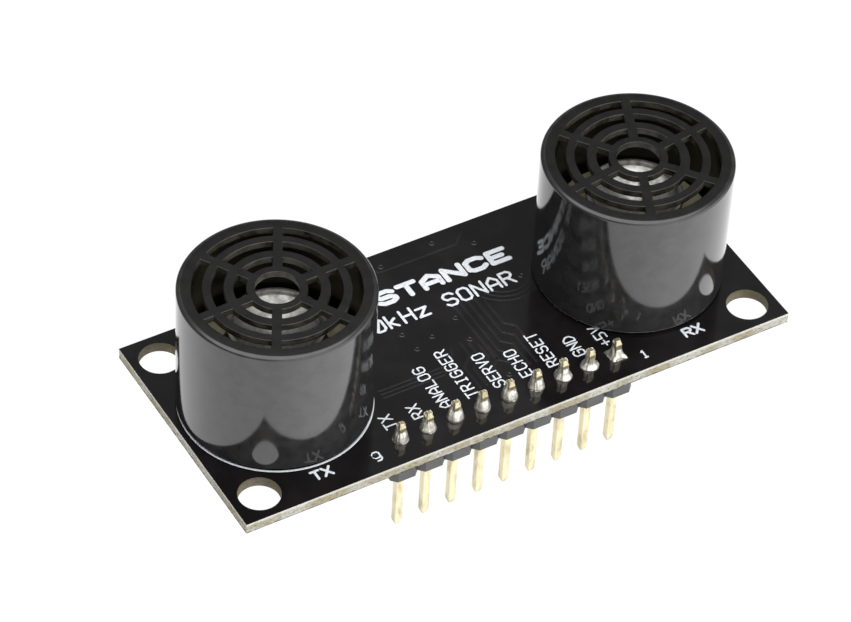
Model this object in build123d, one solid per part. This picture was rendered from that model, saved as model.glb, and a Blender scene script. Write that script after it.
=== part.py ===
from build123d import *
import os

# Two-transducer ultrasonic distance sensor on a small circuit board.
# Millimetres. Origin: centre of the mounting-hole pattern on the board's underside.
# +X runs along the board from transmitter to receiver, +Y away from the pin header,
# +Z towards the transducers. Parts on the underside hang below z = 0.

# --- board -------------------------------------------------------------------
BOARD_LENGTH = 51.0
BOARD_WIDTH = 22.0
BOARD_THICKNESS = 1.0
MOUNT_HOLE_RADIUS = 1.75
MOUNT_HOLE_INSET = 2.5

# --- pin header --------------------------------------------------------------
PIN_COUNT = 9
PIN_PITCH = 2.54
PIN_ROW_Y = -8.5
PIN_WIDTH = 0.64
PIN_TIP_WIDTH = 0.30
PIN_TIP_LENGTH = 0.6
PIN_ABOVE_BOARD = 1.82
PIN_BELOW_BOARD = 8.85
PIN_HOLE_RADIUS = 0.50
HEADER_HEIGHT = 2.54
HEADER_CHAMFER = 0.48

# --- solder ------------------------------------------------------------------
SOLDER_BASE_RADIUS = 0.82
SOLDER_NECK_RADIUS = 0.50
SOLDER_HEIGHT = 0.95
TERMINAL_SOLDER_RADIUS = 1.05
TERMINAL_SOLDER_HEIGHT = 0.60

# --- transducers ---------------------------------------------------------------
# Each can is seated by hand, so the two centres and grille angles differ a little.
TRANSDUCERS = {
    "transmitter": {"centre": (-16.98, 0.06), "grille_turn": 1.0},
    "receiver": {"centre": (16.42, -0.15), "grille_turn": 7.0},
}
CAN_RADIUS = 8.0
CAN_STANDOFF = 0.25
CAN_HEIGHT = 12.35
CAN_WALL = 0.8
CAN_EDGE_ROUND = 0.3
GRILLE_THICKNESS = 0.6
GRILLE_HOLE_RADIUS = 1.80
GRILLE_SLOTS = ((2.45, 3.44), (4.23, 5.22), (5.93, 6.80))
SPOKE_COUNT = 6
SPOKE_WIDTH = 0.80

BASE_FLOOR_HEIGHT = 2.8
PEDESTAL_OUTER_RADIUS = 6.6
PEDESTAL_INNER_RADIUS = 4.5
PEDESTAL_TOP = 6.6
SILICONE_OUTER_RADIUS = 4.2
SILICONE_INNER_RADIUS = 3.5
SILICONE_HEIGHT = 2.0
PLATE_RADIUS = 4.2
PLATE_THICKNESS = 0.3
PIEZO_RADIUS = 3.2
PIEZO_THICKNESS = 0.45
WIRE_CHANNEL_WIDTH = 1.6
WIRE_RADIUS = 0.10
CONE_STEM_RADIUS = 1.1
CONE_STEM_HEIGHT = 0.5
CONE_DISH_RADIUS = 3.5
CONE_RIM_RADIUS = 4.1
CONE_TOP = 9.7
CONE_WALL = 0.25
CONE_DISH_SINK = 1.0

TERMINAL_RADIUS = 0.50
TERMINAL_SPACING = 10.0
TERMINAL_HOLE_RADIUS = 0.60
TERMINAL_BELOW_BOARD = 0.9
TERMINAL_STAND = 0.8

# --- underside packages: body length, width, height ------------------------------
QUAD_BODY = (7.0, 7.0, 1.0)
QUAD_LEADS_PER_SIDE = 8
QUAD_LEAD_PITCH = 0.8
SMALL_OUTLINE_WIDTH = 3.9
SMALL_OUTLINE_HEIGHT = 1.5
SMALL_OUTLINE_PITCH = 1.27
TRANSCEIVER_LENGTH = 9.9
TRANSCEIVER_LEADS_PER_SIDE = 8
AMPLIFIER_LENGTH = 8.65
AMPLIFIER_LEADS_PER_SIDE = 7
THREE_LEG_BODY = (2.9, 1.3, 1.0)
THREE_LEG_PITCH = 1.9
BODY_STANDOFF = 0.1
CRYSTAL_CAN = (11.0, 4.4, 3.4)
CHIP_SIZE = (1.6, 0.8, 0.45)
CHIP_CAPACITOR_HEIGHT = 0.80
TANTALUM_SIZE = (3.5, 2.8, 1.9)
LED_SIZE = (2.0, 1.25, 0.8)

# --- mode switch -------------------------------------------------------------------
SWITCH_BODY = (6.0, 3.5, 1.9)
SWITCH_WELL_RADIUS = 1.5
SWITCH_WELL_FLOOR = 0.7
SWITCH_DOME_RADIUS = 1.4
SWITCH_DOME_HEIGHT = 0.6
SWITCH_DOME_THICKNESS = 0.1
SWITCH_COVER_THICKNESS = 0.2
SWITCH_TRAVEL = 0.25
BUTTON_FLANGE_RADIUS = 1.35
BUTTON_FLANGE_BOTTOM = 1.40
BUTTON_FLANGE_TOP = 1.85
BUTTON_STEM_RADIUS = 0.85
BUTTON_STEM_TOP = 2.90
BUTTON_HOLE_RADIUS = 0.95
SWITCH_TAB = (1.1, 0.7, 0.2)

# --- where things sit on the underside: x, y, turn in degrees ------------------------
MICROCONTROLLER_PLACE = (-3.5, 0.9, 0)
TRANSCEIVER_PLACE = (7.5, 5.0, 0)
AMPLIFIER_PLACE = (7.3, -2.6, 0)
CRYSTAL_PLACE = (-3.5, 8.2, 0)
SWITCH_PLACE = (-11.2, -1.5, 90)
LED_PLACE = (-12.2, 6.5, 0)
TEMPERATURE_SENSOR_PLACE = (14.6, -8.6, 0)
TRANSISTOR_PLACES = ((15.4, 9.2, 0), (-20.8, -4.6, 90))
TANTALUM_PLACES = ((21.3, 3.4, 90), (21.3, -1.4, 90), (-21.3, 1.2, 90))
RESISTOR_PLACES = [(3.2 + 2.3 * i, 9.6, 90) for i in range(5)]
RESISTOR_PLACES += [(13.4, -4.4 + 1.9 * i, 0) for i in range(4)]
CAPACITOR_PLACES = [(-7.5 + 2.3 * i, -5.4, 0) for i in range(5)]
CAPACITOR_PLACES += [(-14.3, 6.4 + 1.9 * i, 0) for i in range(2)]

STANDING = (Align.CENTER, Align.CENTER, Align.MIN)
BOARD_TOP = BOARD_THICKNESS


def disc(radius, bottom, top):
    """A round bar on the Z axis between two heights."""
    return Pos(0, 0, bottom) * Cylinder(radius, top - bottom, align=STANDING)


def tube(outer, inner, bottom, top):
    """A round ring on the Z axis between two heights."""
    return disc(outer, bottom, top) - disc(inner, bottom, top)


def slab(length, width, bottom, top):
    """A rectangular block centred on the Z axis between two heights."""
    return Pos(0, 0, bottom) * Box(length, width, top - bottom, align=STANDING)


def turned(points):
    """A solid of revolution about Z from (radius, height) points."""
    return revolve(Plane.XZ * Polygon(*points, align=None), axis=Axis.Z)


def below(place, piece):
    """Hang a piece that was drawn standing up from the underside of the board."""
    x, y, turn = place
    return Pos(x, y, 0) * Rot(0, 0, turn) * Rot(180, 0, 0) * piece


# --- board and header ------------------------------------------------------------


def pin_x(number):
    """Pin 1 is at the receiver end of the row."""
    return ((PIN_COUNT + 1) / 2 - number) * PIN_PITCH


def circuit_board():
    """The bare board with its mounting, header and terminal holes."""
    board = slab(BOARD_LENGTH, BOARD_WIDTH, 0, BOARD_THICKNESS)
    hole_x = BOARD_LENGTH / 2 - MOUNT_HOLE_INSET
    hole_y = BOARD_WIDTH / 2 - MOUNT_HOLE_INSET
    for x in (-hole_x, hole_x):
        for y in (-hole_y, hole_y):
            board -= Pos(x, y, 0) * disc(MOUNT_HOLE_RADIUS, 0, BOARD_THICKNESS)
    for number in range(1, PIN_COUNT + 1):
        board -= Pos(pin_x(number), PIN_ROW_Y, 0) * disc(PIN_HOLE_RADIUS, 0, BOARD_THICKNESS)
    for unit in TRANSDUCERS.values():
        for place in terminal_places(unit["centre"]):
            board -= place * disc(TERMINAL_HOLE_RADIUS, 0, BOARD_THICKNESS)
    return board


def header_housing():
    """The black strip under the board, with a notch between each two pins."""
    outline = Sketch()
    for number in range(1, PIN_COUNT + 1):
        cell = Rectangle(PIN_PITCH, PIN_PITCH)
        outline += Pos(pin_x(number), PIN_ROW_Y) * chamfer(cell.vertices(), HEADER_CHAMFER)
    for number in range(1, PIN_COUNT + 1):
        outline -= Pos(pin_x(number), PIN_ROW_Y) * Rectangle(PIN_WIDTH, PIN_WIDTH)
    return extrude(outline, -HEADER_HEIGHT)


def pin_taper(start, end):
    """The pyramid at one end of a header pin, narrow at the end height."""
    wide = Pos(0, 0, start) * Rectangle(PIN_WIDTH, PIN_WIDTH)
    narrow = Pos(0, 0, end) * Rectangle(PIN_TIP_WIDTH, PIN_TIP_WIDTH)
    return loft([wide, narrow])


def header_pin():
    """One square pin, drawn on the Z axis, with both ends tapered."""
    top = BOARD_TOP + PIN_ABOVE_BOARD
    shaft = slab(PIN_WIDTH, PIN_WIDTH, PIN_TIP_LENGTH - PIN_BELOW_BOARD, top - PIN_TIP_LENGTH)
    upper = pin_taper(top - PIN_TIP_LENGTH, top)
    lower = pin_taper(PIN_TIP_LENGTH - PIN_BELOW_BOARD, -PIN_BELOW_BOARD)
    return shaft + upper + lower


def solder_joint():
    """Solder that fills one header hole and climbs the pin above the board."""
    neck = BOARD_TOP + SOLDER_HEIGHT
    points = [
        (0, 0),
        (PIN_HOLE_RADIUS, 0),
        (PIN_HOLE_RADIUS, BOARD_TOP),
        (SOLDER_BASE_RADIUS, BOARD_TOP),
        (SOLDER_BASE_RADIUS - 0.10, BOARD_TOP + 0.35 * SOLDER_HEIGHT),
        (SOLDER_NECK_RADIUS + 0.08, BOARD_TOP + 0.75 * SOLDER_HEIGHT),
        (SOLDER_NECK_RADIUS, neck),
        (0, neck),
    ]
    return turned(points) - slab(PIN_WIDTH, PIN_WIDTH, 0, neck)


# --- transducers -------------------------------------------------------------------


def terminal_places(centre=(0, 0)):
    """The two terminals of a transducer, one each side of its centre along Y."""
    x, y = centre
    return [Pos(x, y + side * TERMINAL_SPACING / 2, 0) for side in (-1, 1)]


def can_housing(grille_turn):
    """The black can: side wall, rounded top edge and slotted grille."""
    bottom = BOARD_TOP + CAN_STANDOFF
    top = bottom + CAN_HEIGHT
    grille_bottom = top - GRILLE_THICKNESS
    can = disc(CAN_RADIUS, bottom, top)
    can = fillet(can.edges().filter_by(GeomType.CIRCLE).sort_by(Axis.Z)[-1], CAN_EDGE_ROUND)
    can -= disc(CAN_RADIUS - CAN_WALL, bottom, grille_bottom)
    can -= disc(GRILLE_HOLE_RADIUS, grille_bottom, top)
    spokes = Part()
    for index in range(SPOKE_COUNT // 2):
        turn = grille_turn + index * 360 / SPOKE_COUNT
        spokes += Rot(0, 0, turn) * slab(2 * CAN_RADIUS, SPOKE_WIDTH, grille_bottom, top)
    for inner, outer in GRILLE_SLOTS:
        can -= tube(outer, inner, grille_bottom, top) - spokes
    return can


def wire_channel(bottom, top):
    """The cut that lets the lead wires pass from the terminals to the piezo disc."""
    length = TERMINAL_SPACING + 2 * TERMINAL_RADIUS + 0.8
    return slab(WIRE_CHANNEL_WIDTH, length, bottom, top)


BASE_TOP = BOARD_TOP + BASE_FLOOR_HEIGHT
PLATE_BOTTOM = BASE_TOP + SILICONE_HEIGHT
PLATE_TOP = PLATE_BOTTOM + PLATE_THICKNESS
PIEZO_BOTTOM = PLATE_BOTTOM - PIEZO_THICKNESS


def can_base():
    """The tan moulded base that closes the can and holds it just off the board."""
    base = disc(CAN_RADIUS - CAN_WALL, BOARD_TOP, BASE_TOP)
    ring = tube(PEDESTAL_OUTER_RADIUS, PEDESTAL_INNER_RADIUS, BASE_TOP, PEDESTAL_TOP)
    base += ring - wire_channel(BASE_TOP, PEDESTAL_TOP)
    for place in terminal_places():
        base -= place * disc(TERMINAL_RADIUS, BOARD_TOP, BASE_TOP)
    return base


def silicone_ring():
    """The soft ring that carries the vibrator plate near its node circle."""
    ring = tube(SILICONE_OUTER_RADIUS, SILICONE_INNER_RADIUS, BASE_TOP, PLATE_BOTTOM)
    return ring - wire_channel(BASE_TOP, PIEZO_BOTTOM)


def resonator_cone():
    """The thin aluminium cone on the plate, whose shallow dish faces the grille."""
    dish_edge = CONE_TOP - 0.3
    dish_middle = dish_edge - CONE_DISH_SINK
    stem_top = PLATE_TOP + CONE_STEM_HEIGHT
    points = [
        (0, PLATE_TOP),
        (CONE_STEM_RADIUS, PLATE_TOP),
        (CONE_STEM_RADIUS, stem_top),
        (CONE_STEM_RADIUS - CONE_WALL, stem_top + CONE_WALL),
        (CONE_STEM_RADIUS - CONE_WALL, dish_middle - CONE_WALL),
        (CONE_DISH_RADIUS, dish_edge - CONE_WALL),
        (CONE_RIM_RADIUS, CONE_TOP - CONE_WALL),
        (CONE_RIM_RADIUS, CONE_TOP),
        (CONE_RIM_RADIUS - CONE_WALL, CONE_TOP),
        (CONE_DISH_RADIUS, dish_edge),
        (0, dish_middle),
    ]
    return turned(points)


def lead_wire():
    """One wire on the +Y side: in from the terminal, then up to the piezo disc."""
    wire_height = BASE_TOP + TERMINAL_STAND / 2
    outer_y = TERMINAL_SPACING / 2 - TERMINAL_RADIUS
    inner_y = PIEZO_RADIUS - 0.8
    points = [
        (0, outer_y, wire_height),
        (0, inner_y, wire_height),
        (0, inner_y, PIEZO_BOTTOM),
    ]
    path = FilletPolyline(*points, radius=4 * WIRE_RADIUS)
    section = Plane(origin=points[0], z_dir=(0, -1, 0)) * Circle(WIRE_RADIUS)
    return sweep(section, path=path)


def terminal_solder():
    """Solder round one transducer terminal, in its hole and below the board."""
    points = [
        (TERMINAL_RADIUS, -TERMINAL_SOLDER_HEIGHT),
        (TERMINAL_RADIUS + 0.12, -TERMINAL_SOLDER_HEIGHT),
        (TERMINAL_SOLDER_RADIUS - 0.15, -0.3 * TERMINAL_SOLDER_HEIGHT),
        (TERMINAL_SOLDER_RADIUS, 0),
        (TERMINAL_HOLE_RADIUS, 0),
        (TERMINAL_HOLE_RADIUS, BOARD_TOP),
        (TERMINAL_RADIUS, BOARD_TOP),
    ]
    return turned(points)


def transducer_pieces(grille_turn):
    """Every piece of one transducer, drawn on the Z axis, by short name."""
    terminal = disc(TERMINAL_RADIUS, -TERMINAL_BELOW_BOARD, BASE_TOP + TERMINAL_STAND)
    wire = lead_wire()
    return {
        "housing": [can_housing(grille_turn)],
        "base": [can_base()],
        "silicone_ring": [silicone_ring()],
        "vibrator_plate": [disc(PLATE_RADIUS, PLATE_BOTTOM, PLATE_TOP)],
        "piezo_disc": [disc(PIEZO_RADIUS, PIEZO_BOTTOM, PLATE_BOTTOM)],
        "resonator_cone": [resonator_cone()],
        "terminals": [place * terminal for place in terminal_places()],
        "lead_wires": [wire, Rot(0, 0, 180) * wire],
        "terminal_solder": [place * terminal_solder() for place in terminal_places()],
    }


# --- underside packages --------------------------------------------------------------


def chip_body(length, width, height):
    """A moulded chip body with a dimple that marks pin 1."""
    body = slab(length, width, BODY_STANDOFF, BODY_STANDOFF + height)
    body = chamfer(body.faces().sort_by(Axis.Z)[-1].edges(), 0.12)
    dimple = disc(0.35, BODY_STANDOFF + height - 0.08, BODY_STANDOFF + height)
    return body - Pos(0.8 - length / 2, 0.8 - width / 2, 0) * dimple


def gull_wing(body_side, reach, exit_height, width):
    """One bent lead along +X: out of the body's side, down, and out along its pad."""
    thickness = 0.15
    knee = body_side + 0.3 * reach
    heel = body_side + 0.5 * reach
    toe = body_side + reach
    outline = [
        (body_side, exit_height - thickness),
        (knee - 0.05, exit_height - thickness),
        (heel - 0.05, 0),
        (toe, 0),
        (toe, thickness),
        (heel + 0.08, thickness),
        (knee + 0.08, exit_height),
        (body_side, exit_height),
    ]
    return extrude(Plane.XZ * Polygon(*outline, align=None), width / 2, both=True)


def lead_rows(half_body, reach, height, count, pitch, width, turns):
    """Rows of gull-wing leads, one row for each turn about the body's centre."""
    lead = gull_wing(half_body, reach, BODY_STANDOFF + height / 2, width)
    offsets = [(index - (count - 1) / 2) * pitch for index in range(count)]
    return [Rot(0, 0, turn) * Pos(0, y, 0) * lead for turn in turns for y in offsets]


def small_outline_leads(count):
    """The two rows of leads of a small-outline package."""
    rows = (90, 270)
    half = SMALL_OUTLINE_WIDTH / 2
    return lead_rows(half, 1.05, SMALL_OUTLINE_HEIGHT, count, SMALL_OUTLINE_PITCH, 0.4, rows)


def three_leg_leads():
    """The three leads of a small transistor package."""
    length, width, height = THREE_LEG_BODY
    lead = gull_wing(width / 2, 0.55, BODY_STANDOFF + height / 2, 0.4)
    pair = [Rot(0, 0, 90) * Pos(0, side * THREE_LEG_PITCH / 2, 0) * lead for side in (-1, 1)]
    return pair + [Rot(0, 0, 270) * lead]


def crystal():
    """The crystal's metal can with its rounded ends and solder flange."""
    length, width, height = CRYSTAL_CAN
    can = extrude(SlotOverall(length - 0.8, width - 0.8), height)
    flange = extrude(SlotOverall(length, width), 0.4)
    return fillet(can.edges().group_by(Axis.Z)[-1], 0.3) + flange


def status_led():
    """The indicator: a flat base with a clear block on it."""
    length, width, height = LED_SIZE
    base = slab(length, width, 0, 0.35)
    return base + slab(0.6 * length, width - 0.1, 0.35, height)


def tantalum_capacitor():
    """A moulded capacitor with a bevel along its marked end."""
    length, width, height = TANTALUM_SIZE
    body = slab(length, width, 0, height)
    return chamfer(body.edges().filter_by(Axis.Y).sort_by(Axis.Z)[-1], 0.3)


# --- mode switch ---------------------------------------------------------------------


def switch_base():
    """The switch's moulded body with a round well for the dome and button."""
    length, width, height = SWITCH_BODY
    return slab(length, width, 0, height) - disc(SWITCH_WELL_RADIUS, SWITCH_WELL_FLOOR, height)


def switch_terminals():
    """Four flat tabs, two at each end of the switch."""
    length, width, thickness = SWITCH_TAB
    reach = (SWITCH_BODY[0] + length) / 2
    side = SWITCH_BODY[1] / 2 - width
    tab = slab(length, width, 0, thickness)
    return [Pos(sx * reach, sy * side, 0) * tab for sx in (-1, 1) for sy in (-1, 1)]


def switch_dome():
    """The thin snap dome that pushes the button back."""
    apex = SWITCH_WELL_FLOOR + SWITCH_DOME_HEIGHT
    radius, thickness = SWITCH_DOME_RADIUS, SWITCH_DOME_THICKNESS
    outer = ThreePointArc((-radius, SWITCH_WELL_FLOOR), (0, apex), (radius, SWITCH_WELL_FLOOR))
    inner_radius = radius - thickness
    inner = ThreePointArc(
        (-inner_radius, SWITCH_WELL_FLOOR), (0, apex - thickness), (inner_radius, SWITCH_WELL_FLOOR)
    )
    edges = [outer, Line(outer @ 1, inner @ 1), inner, Line(inner @ 0, outer @ 0)]
    half_plane = Pos(radius, apex) * Rectangle(2 * radius, 4 * radius)
    return revolve(Plane.XZ * (make_face(edges) & half_plane), axis=Axis.Z)


def switch_button():
    """The plunger: a flange held under the cover and a stem that stands out of it."""
    flange = disc(BUTTON_FLANGE_RADIUS, BUTTON_FLANGE_BOTTOM, BUTTON_FLANGE_TOP)
    stem = disc(BUTTON_STEM_RADIUS, BUTTON_FLANGE_TOP, BUTTON_STEM_TOP)
    stem = fillet(stem.edges().filter_by(GeomType.CIRCLE).sort_by(Axis.Z)[-1], 0.15)
    return flange + stem


def switch_cover():
    """The metal plate over the body, with a hole for the stem and a clip down each side."""
    length, width, height = SWITCH_BODY
    thickness = SWITCH_COVER_THICKNESS
    cover = slab(length, width + 2 * thickness, height, height + thickness)
    cover -= disc(BUTTON_HOLE_RADIUS, height, height + thickness)
    clip = slab(3.0, thickness, height / 2, height)
    for side in (-1, 1):
        cover += Pos(0, side * (width + thickness) / 2, 0) * clip
    return cover


# --- the whole sensor ------------------------------------------------------------------


def underside_pieces():
    """Every piece on the underside of the board, by node name."""
    chip = slab(*CHIP_SIZE[:2], 0, CHIP_SIZE[2])
    capacitor = slab(*CHIP_SIZE[:2], 0, CHIP_CAPACITOR_HEIGHT)
    quad_half = QUAD_BODY[0] / 2
    quad_turns = (0, 90, 180, 270)
    quad = (quad_half, 1.0, QUAD_BODY[2], QUAD_LEADS_PER_SIDE, QUAD_LEAD_PITCH, 0.35, quad_turns)
    small = (SMALL_OUTLINE_WIDTH, SMALL_OUTLINE_HEIGHT)
    single = {
        "microcontroller_body": (MICROCONTROLLER_PLACE, [chip_body(*QUAD_BODY)]),
        "microcontroller_leads": (MICROCONTROLLER_PLACE, lead_rows(*quad)),
        "serial_transceiver_body": (TRANSCEIVER_PLACE, [chip_body(TRANSCEIVER_LENGTH, *small)]),
        "serial_transceiver_leads": (
            TRANSCEIVER_PLACE,
            small_outline_leads(TRANSCEIVER_LEADS_PER_SIDE),
        ),
        "amplifier_body": (AMPLIFIER_PLACE, [chip_body(AMPLIFIER_LENGTH, *small)]),
        "amplifier_leads": (AMPLIFIER_PLACE, small_outline_leads(AMPLIFIER_LEADS_PER_SIDE)),
        "crystal": (CRYSTAL_PLACE, [crystal()]),
        "temperature_sensor_body": (TEMPERATURE_SENSOR_PLACE, [chip_body(*THREE_LEG_BODY)]),
        "temperature_sensor_leads": (TEMPERATURE_SENSOR_PLACE, three_leg_leads()),
        "status_led": (LED_PLACE, [status_led()]),
        "mode_switch_base": (SWITCH_PLACE, [switch_base()]),
        "mode_switch_terminals": (SWITCH_PLACE, switch_terminals()),
        "mode_switch_dome": (SWITCH_PLACE, [switch_dome()]),
        "mode_switch_button": (SWITCH_PLACE, [switch_button()]),
        "mode_switch_cover": (SWITCH_PLACE, [switch_cover()]),
    }
    pieces = {name: [below(place, p) for p in drawn] for name, (place, drawn) in single.items()}
    pieces["transistor_bodies"] = [below(p, chip_body(*THREE_LEG_BODY)) for p in TRANSISTOR_PLACES]
    pieces["transistor_leads"] = [
        below(place, lead) for place in TRANSISTOR_PLACES for lead in three_leg_leads()
    ]
    pieces["chip_resistors"] = [below(place, chip) for place in RESISTOR_PLACES]
    pieces["chip_capacitors"] = [below(place, capacitor) for place in CAPACITOR_PLACES]
    pieces["tantalum_capacitors"] = [below(p, tantalum_capacitor()) for p in TANTALUM_PLACES]
    return pieces


def sensor_pieces():
    """Every piece of the sensor in its place, by node name."""
    pieces = {"circuit_board": [circuit_board()], "header_housing": [header_housing()]}
    pin = header_pin()
    joint = solder_joint()
    for number in range(1, PIN_COUNT + 1):
        place = Pos(pin_x(number), PIN_ROW_Y, 0)
        pieces[f"header_pin_{number}"] = [place * pin]
        pieces[f"solder_joint_{number}"] = [place * joint]
    for unit_name, unit in TRANSDUCERS.items():
        place = Pos(*unit["centre"], 0)
        for short_name, drawn in transducer_pieces(unit["grille_turn"]).items():
            pieces[f"{unit_name}_{short_name}"] = [place * piece for piece in drawn]
    pieces.update(underside_pieces())
    return pieces


def write_step_files():
    """Write one STEP file for each node."""
    os.makedirs("parts", exist_ok=True)
    for name, solids in sensor_pieces().items():
        shape = solids[0] if len(solids) == 1 else Compound(solids)
        export_step(shape, os.path.join("parts", name + ".step"))


write_step_files()
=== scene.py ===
"""Looks of a two-transducer ultrasonic distance sensor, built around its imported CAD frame.

Pieces are drawn in millimetres in the frame's own axes and settled to metres at the origin.
"""

from __future__ import annotations

import logging
import math
import random
from dataclasses import dataclass
from enum import Enum
from functools import lru_cache
from typing import Any, Iterable, Sequence

import bmesh
import bpy
from mathutils import Matrix, Vector, noise

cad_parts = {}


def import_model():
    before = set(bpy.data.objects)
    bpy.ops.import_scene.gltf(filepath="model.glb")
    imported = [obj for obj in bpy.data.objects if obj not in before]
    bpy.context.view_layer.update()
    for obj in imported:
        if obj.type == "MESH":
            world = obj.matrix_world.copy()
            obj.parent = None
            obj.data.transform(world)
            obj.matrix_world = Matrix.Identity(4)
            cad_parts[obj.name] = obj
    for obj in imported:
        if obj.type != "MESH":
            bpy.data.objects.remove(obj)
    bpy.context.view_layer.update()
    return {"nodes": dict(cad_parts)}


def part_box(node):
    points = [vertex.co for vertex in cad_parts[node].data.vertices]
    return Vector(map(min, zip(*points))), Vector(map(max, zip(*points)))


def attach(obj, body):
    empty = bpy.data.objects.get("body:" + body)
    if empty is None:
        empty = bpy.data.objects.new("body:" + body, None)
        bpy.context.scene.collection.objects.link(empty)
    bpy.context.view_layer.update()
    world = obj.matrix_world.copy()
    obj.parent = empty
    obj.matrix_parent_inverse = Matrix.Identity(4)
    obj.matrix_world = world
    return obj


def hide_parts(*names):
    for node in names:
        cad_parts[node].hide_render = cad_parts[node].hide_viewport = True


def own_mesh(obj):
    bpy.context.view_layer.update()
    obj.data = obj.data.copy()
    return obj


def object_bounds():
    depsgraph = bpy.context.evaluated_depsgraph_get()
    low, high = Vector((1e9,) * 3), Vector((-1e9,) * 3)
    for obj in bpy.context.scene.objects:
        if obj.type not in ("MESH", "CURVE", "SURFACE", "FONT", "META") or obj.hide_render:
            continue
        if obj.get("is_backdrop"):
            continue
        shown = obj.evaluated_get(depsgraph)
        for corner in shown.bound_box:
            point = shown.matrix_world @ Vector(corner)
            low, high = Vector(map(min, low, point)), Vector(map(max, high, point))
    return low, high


LOG = logging.getLogger("distance_sensor")
MM = 0.001
BOARD_BODY = "board_assembly"
PIN_COUNT = 9

Piece = bpy.types.Object
Mesh = bpy.types.Mesh
Drawing = bmesh.types.BMesh
Socket = bpy.types.NodeSocket
Colour = tuple[float, float, float]
Point2 = tuple[float, float]
Point3 = tuple[float, float, float]
Stops = tuple[tuple[float, float], ...]
NODES: dict[str, Piece] = {}


class Face(Enum):
    """A face of the board."""

    TOP = "top"
    BOTTOM = "bottom"


class Unit(Enum):
    """Which of the two cans a transducer is."""

    TRANSMITTER = "transmitter"
    RECEIVER = "receiver"


class Reading(Enum):
    """Which way a line of lettering reads."""

    ALONG_BOARD = 0
    ACROSS_BOARD = 90


# --- geometry helpers ---------------------------------------------------------------------


def box_mm(node: str) -> tuple[Vector, Vector]:
    """Lowest and highest corner of a CAD node, in millimetres.

    Args:
        node: the node's name.

    Returns:
        The two corners.
    """
    low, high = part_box(node)
    return low / MM, high / MM


def centre_mm(node: str) -> Vector:
    """Middle of a CAD node's box, in millimetres."""
    low, high = box_mm(node)
    return (low + high) / 2


def numbered(stem: str) -> list[str]:
    """Names of the nodes that there is one of at each pin, from pin 1."""
    return [f"{stem}_{number}" for number in range(1, PIN_COUNT + 1)]


def pin_centres() -> list[Vector]:
    """Centres of the header's pins, from pin 1."""
    return [centre_mm(node) for node in numbered("header_pin")]


def merged_copy(node: str) -> Drawing:
    """A CAD node's shape in millimetres, with its loose triangles joined."""
    merged = bmesh.new()
    merged.from_mesh(NODES[node].data)
    bmesh.ops.remove_doubles(merged, verts=merged.verts, dist=1e-6)
    bmesh.ops.scale(merged, vec=(1 / MM, 1 / MM, 1 / MM), verts=merged.verts)
    return merged


def paint(piece: Piece, *finishes: Any) -> None:
    """Give a piece one material slot for each finish."""
    piece.data.materials.clear()
    for finish in finishes:
        piece.data.materials.append(finish.material())


def settle(name: str, mesh: Mesh) -> Piece:
    """Scale a mesh from millimetres to metres and link it as an object at the origin.

    Args:
        name: the piece's name.
        mesh: the mesh, drawn in millimetres.

    Returns:
        The linked object.
    """
    mesh.transform(Matrix.Scale(MM, 4))
    mesh.name = name
    piece = bpy.data.objects.new(name, mesh)
    bpy.context.scene.collection.objects.link(piece)
    return piece


def settle_bmesh(name: str, drawn: Drawing, smooth: bool = True) -> Piece:
    """Close a bmesh's seams, turn its faces outwards and settle it as a piece.

    Args:
        name: the piece's name.
        drawn: the bmesh, in millimetres; it is freed.
        smooth: whether its faces are shaded smooth.

    Returns:
        The linked object.
    """
    bmesh.ops.remove_doubles(drawn, verts=drawn.verts, dist=1e-5)
    bmesh.ops.recalc_face_normals(drawn, faces=drawn.faces)
    for face in drawn.faces:
        face.smooth = smooth
    mesh = bpy.data.meshes.new(name)
    drawn.to_mesh(mesh)
    drawn.free()
    return settle(name, mesh)


def round_edges(piece: Piece, width_mm: float, angle: float = 40.0) -> None:
    """Round a piece's sharp edges with a bevel whose neighbours keep their flat shading.

    Args:
        piece: the object to finish.
        width_mm: the bevel's width.
        angle: the least angle of an edge, in degrees, that is rounded.
    """
    bevel = piece.modifiers.new("rounded_edges", "BEVEL")
    bevel.width = width_mm * MM
    bevel.segments = 2
    bevel.limit_method = "ANGLE"
    bevel.angle_limit = math.radians(angle)
    bevel.use_clamp_overlap = True
    bevel.harden_normals = True


def circle(centre: Point2, radius: float, steps: int = 64) -> list[Point2]:
    """Points of a circle, anticlockwise."""
    x, y = centre
    turns = (math.tau * step / steps for step in range(steps))
    return [(x + radius * math.cos(turn), y + radius * math.sin(turn)) for turn in turns]


def rectangle(low: Point2, high: Point2) -> list[Point2]:
    """Corners of an upright rectangle, anticlockwise."""
    return [(low[0], low[1]), (high[0], low[1]), (high[0], high[1]), (low[0], high[1])]


def square(centre: Vector, half: float) -> list[Point2]:
    """Corners of an upright square round a centre, anticlockwise."""
    return rectangle((centre.x - half, centre.y - half), (centre.x + half, centre.y + half))


def bridge(drawn: Drawing, lower: Sequence[Any], upper: Sequence[Any]) -> None:
    """Join two closed rows of as many points by a band of faces."""
    for step in range(len(lower)):
        after = (step + 1) % len(lower)
        ring = dict.fromkeys((lower[step], lower[after], upper[after], upper[step]))
        drawn.faces.new(tuple(ring))


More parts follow.
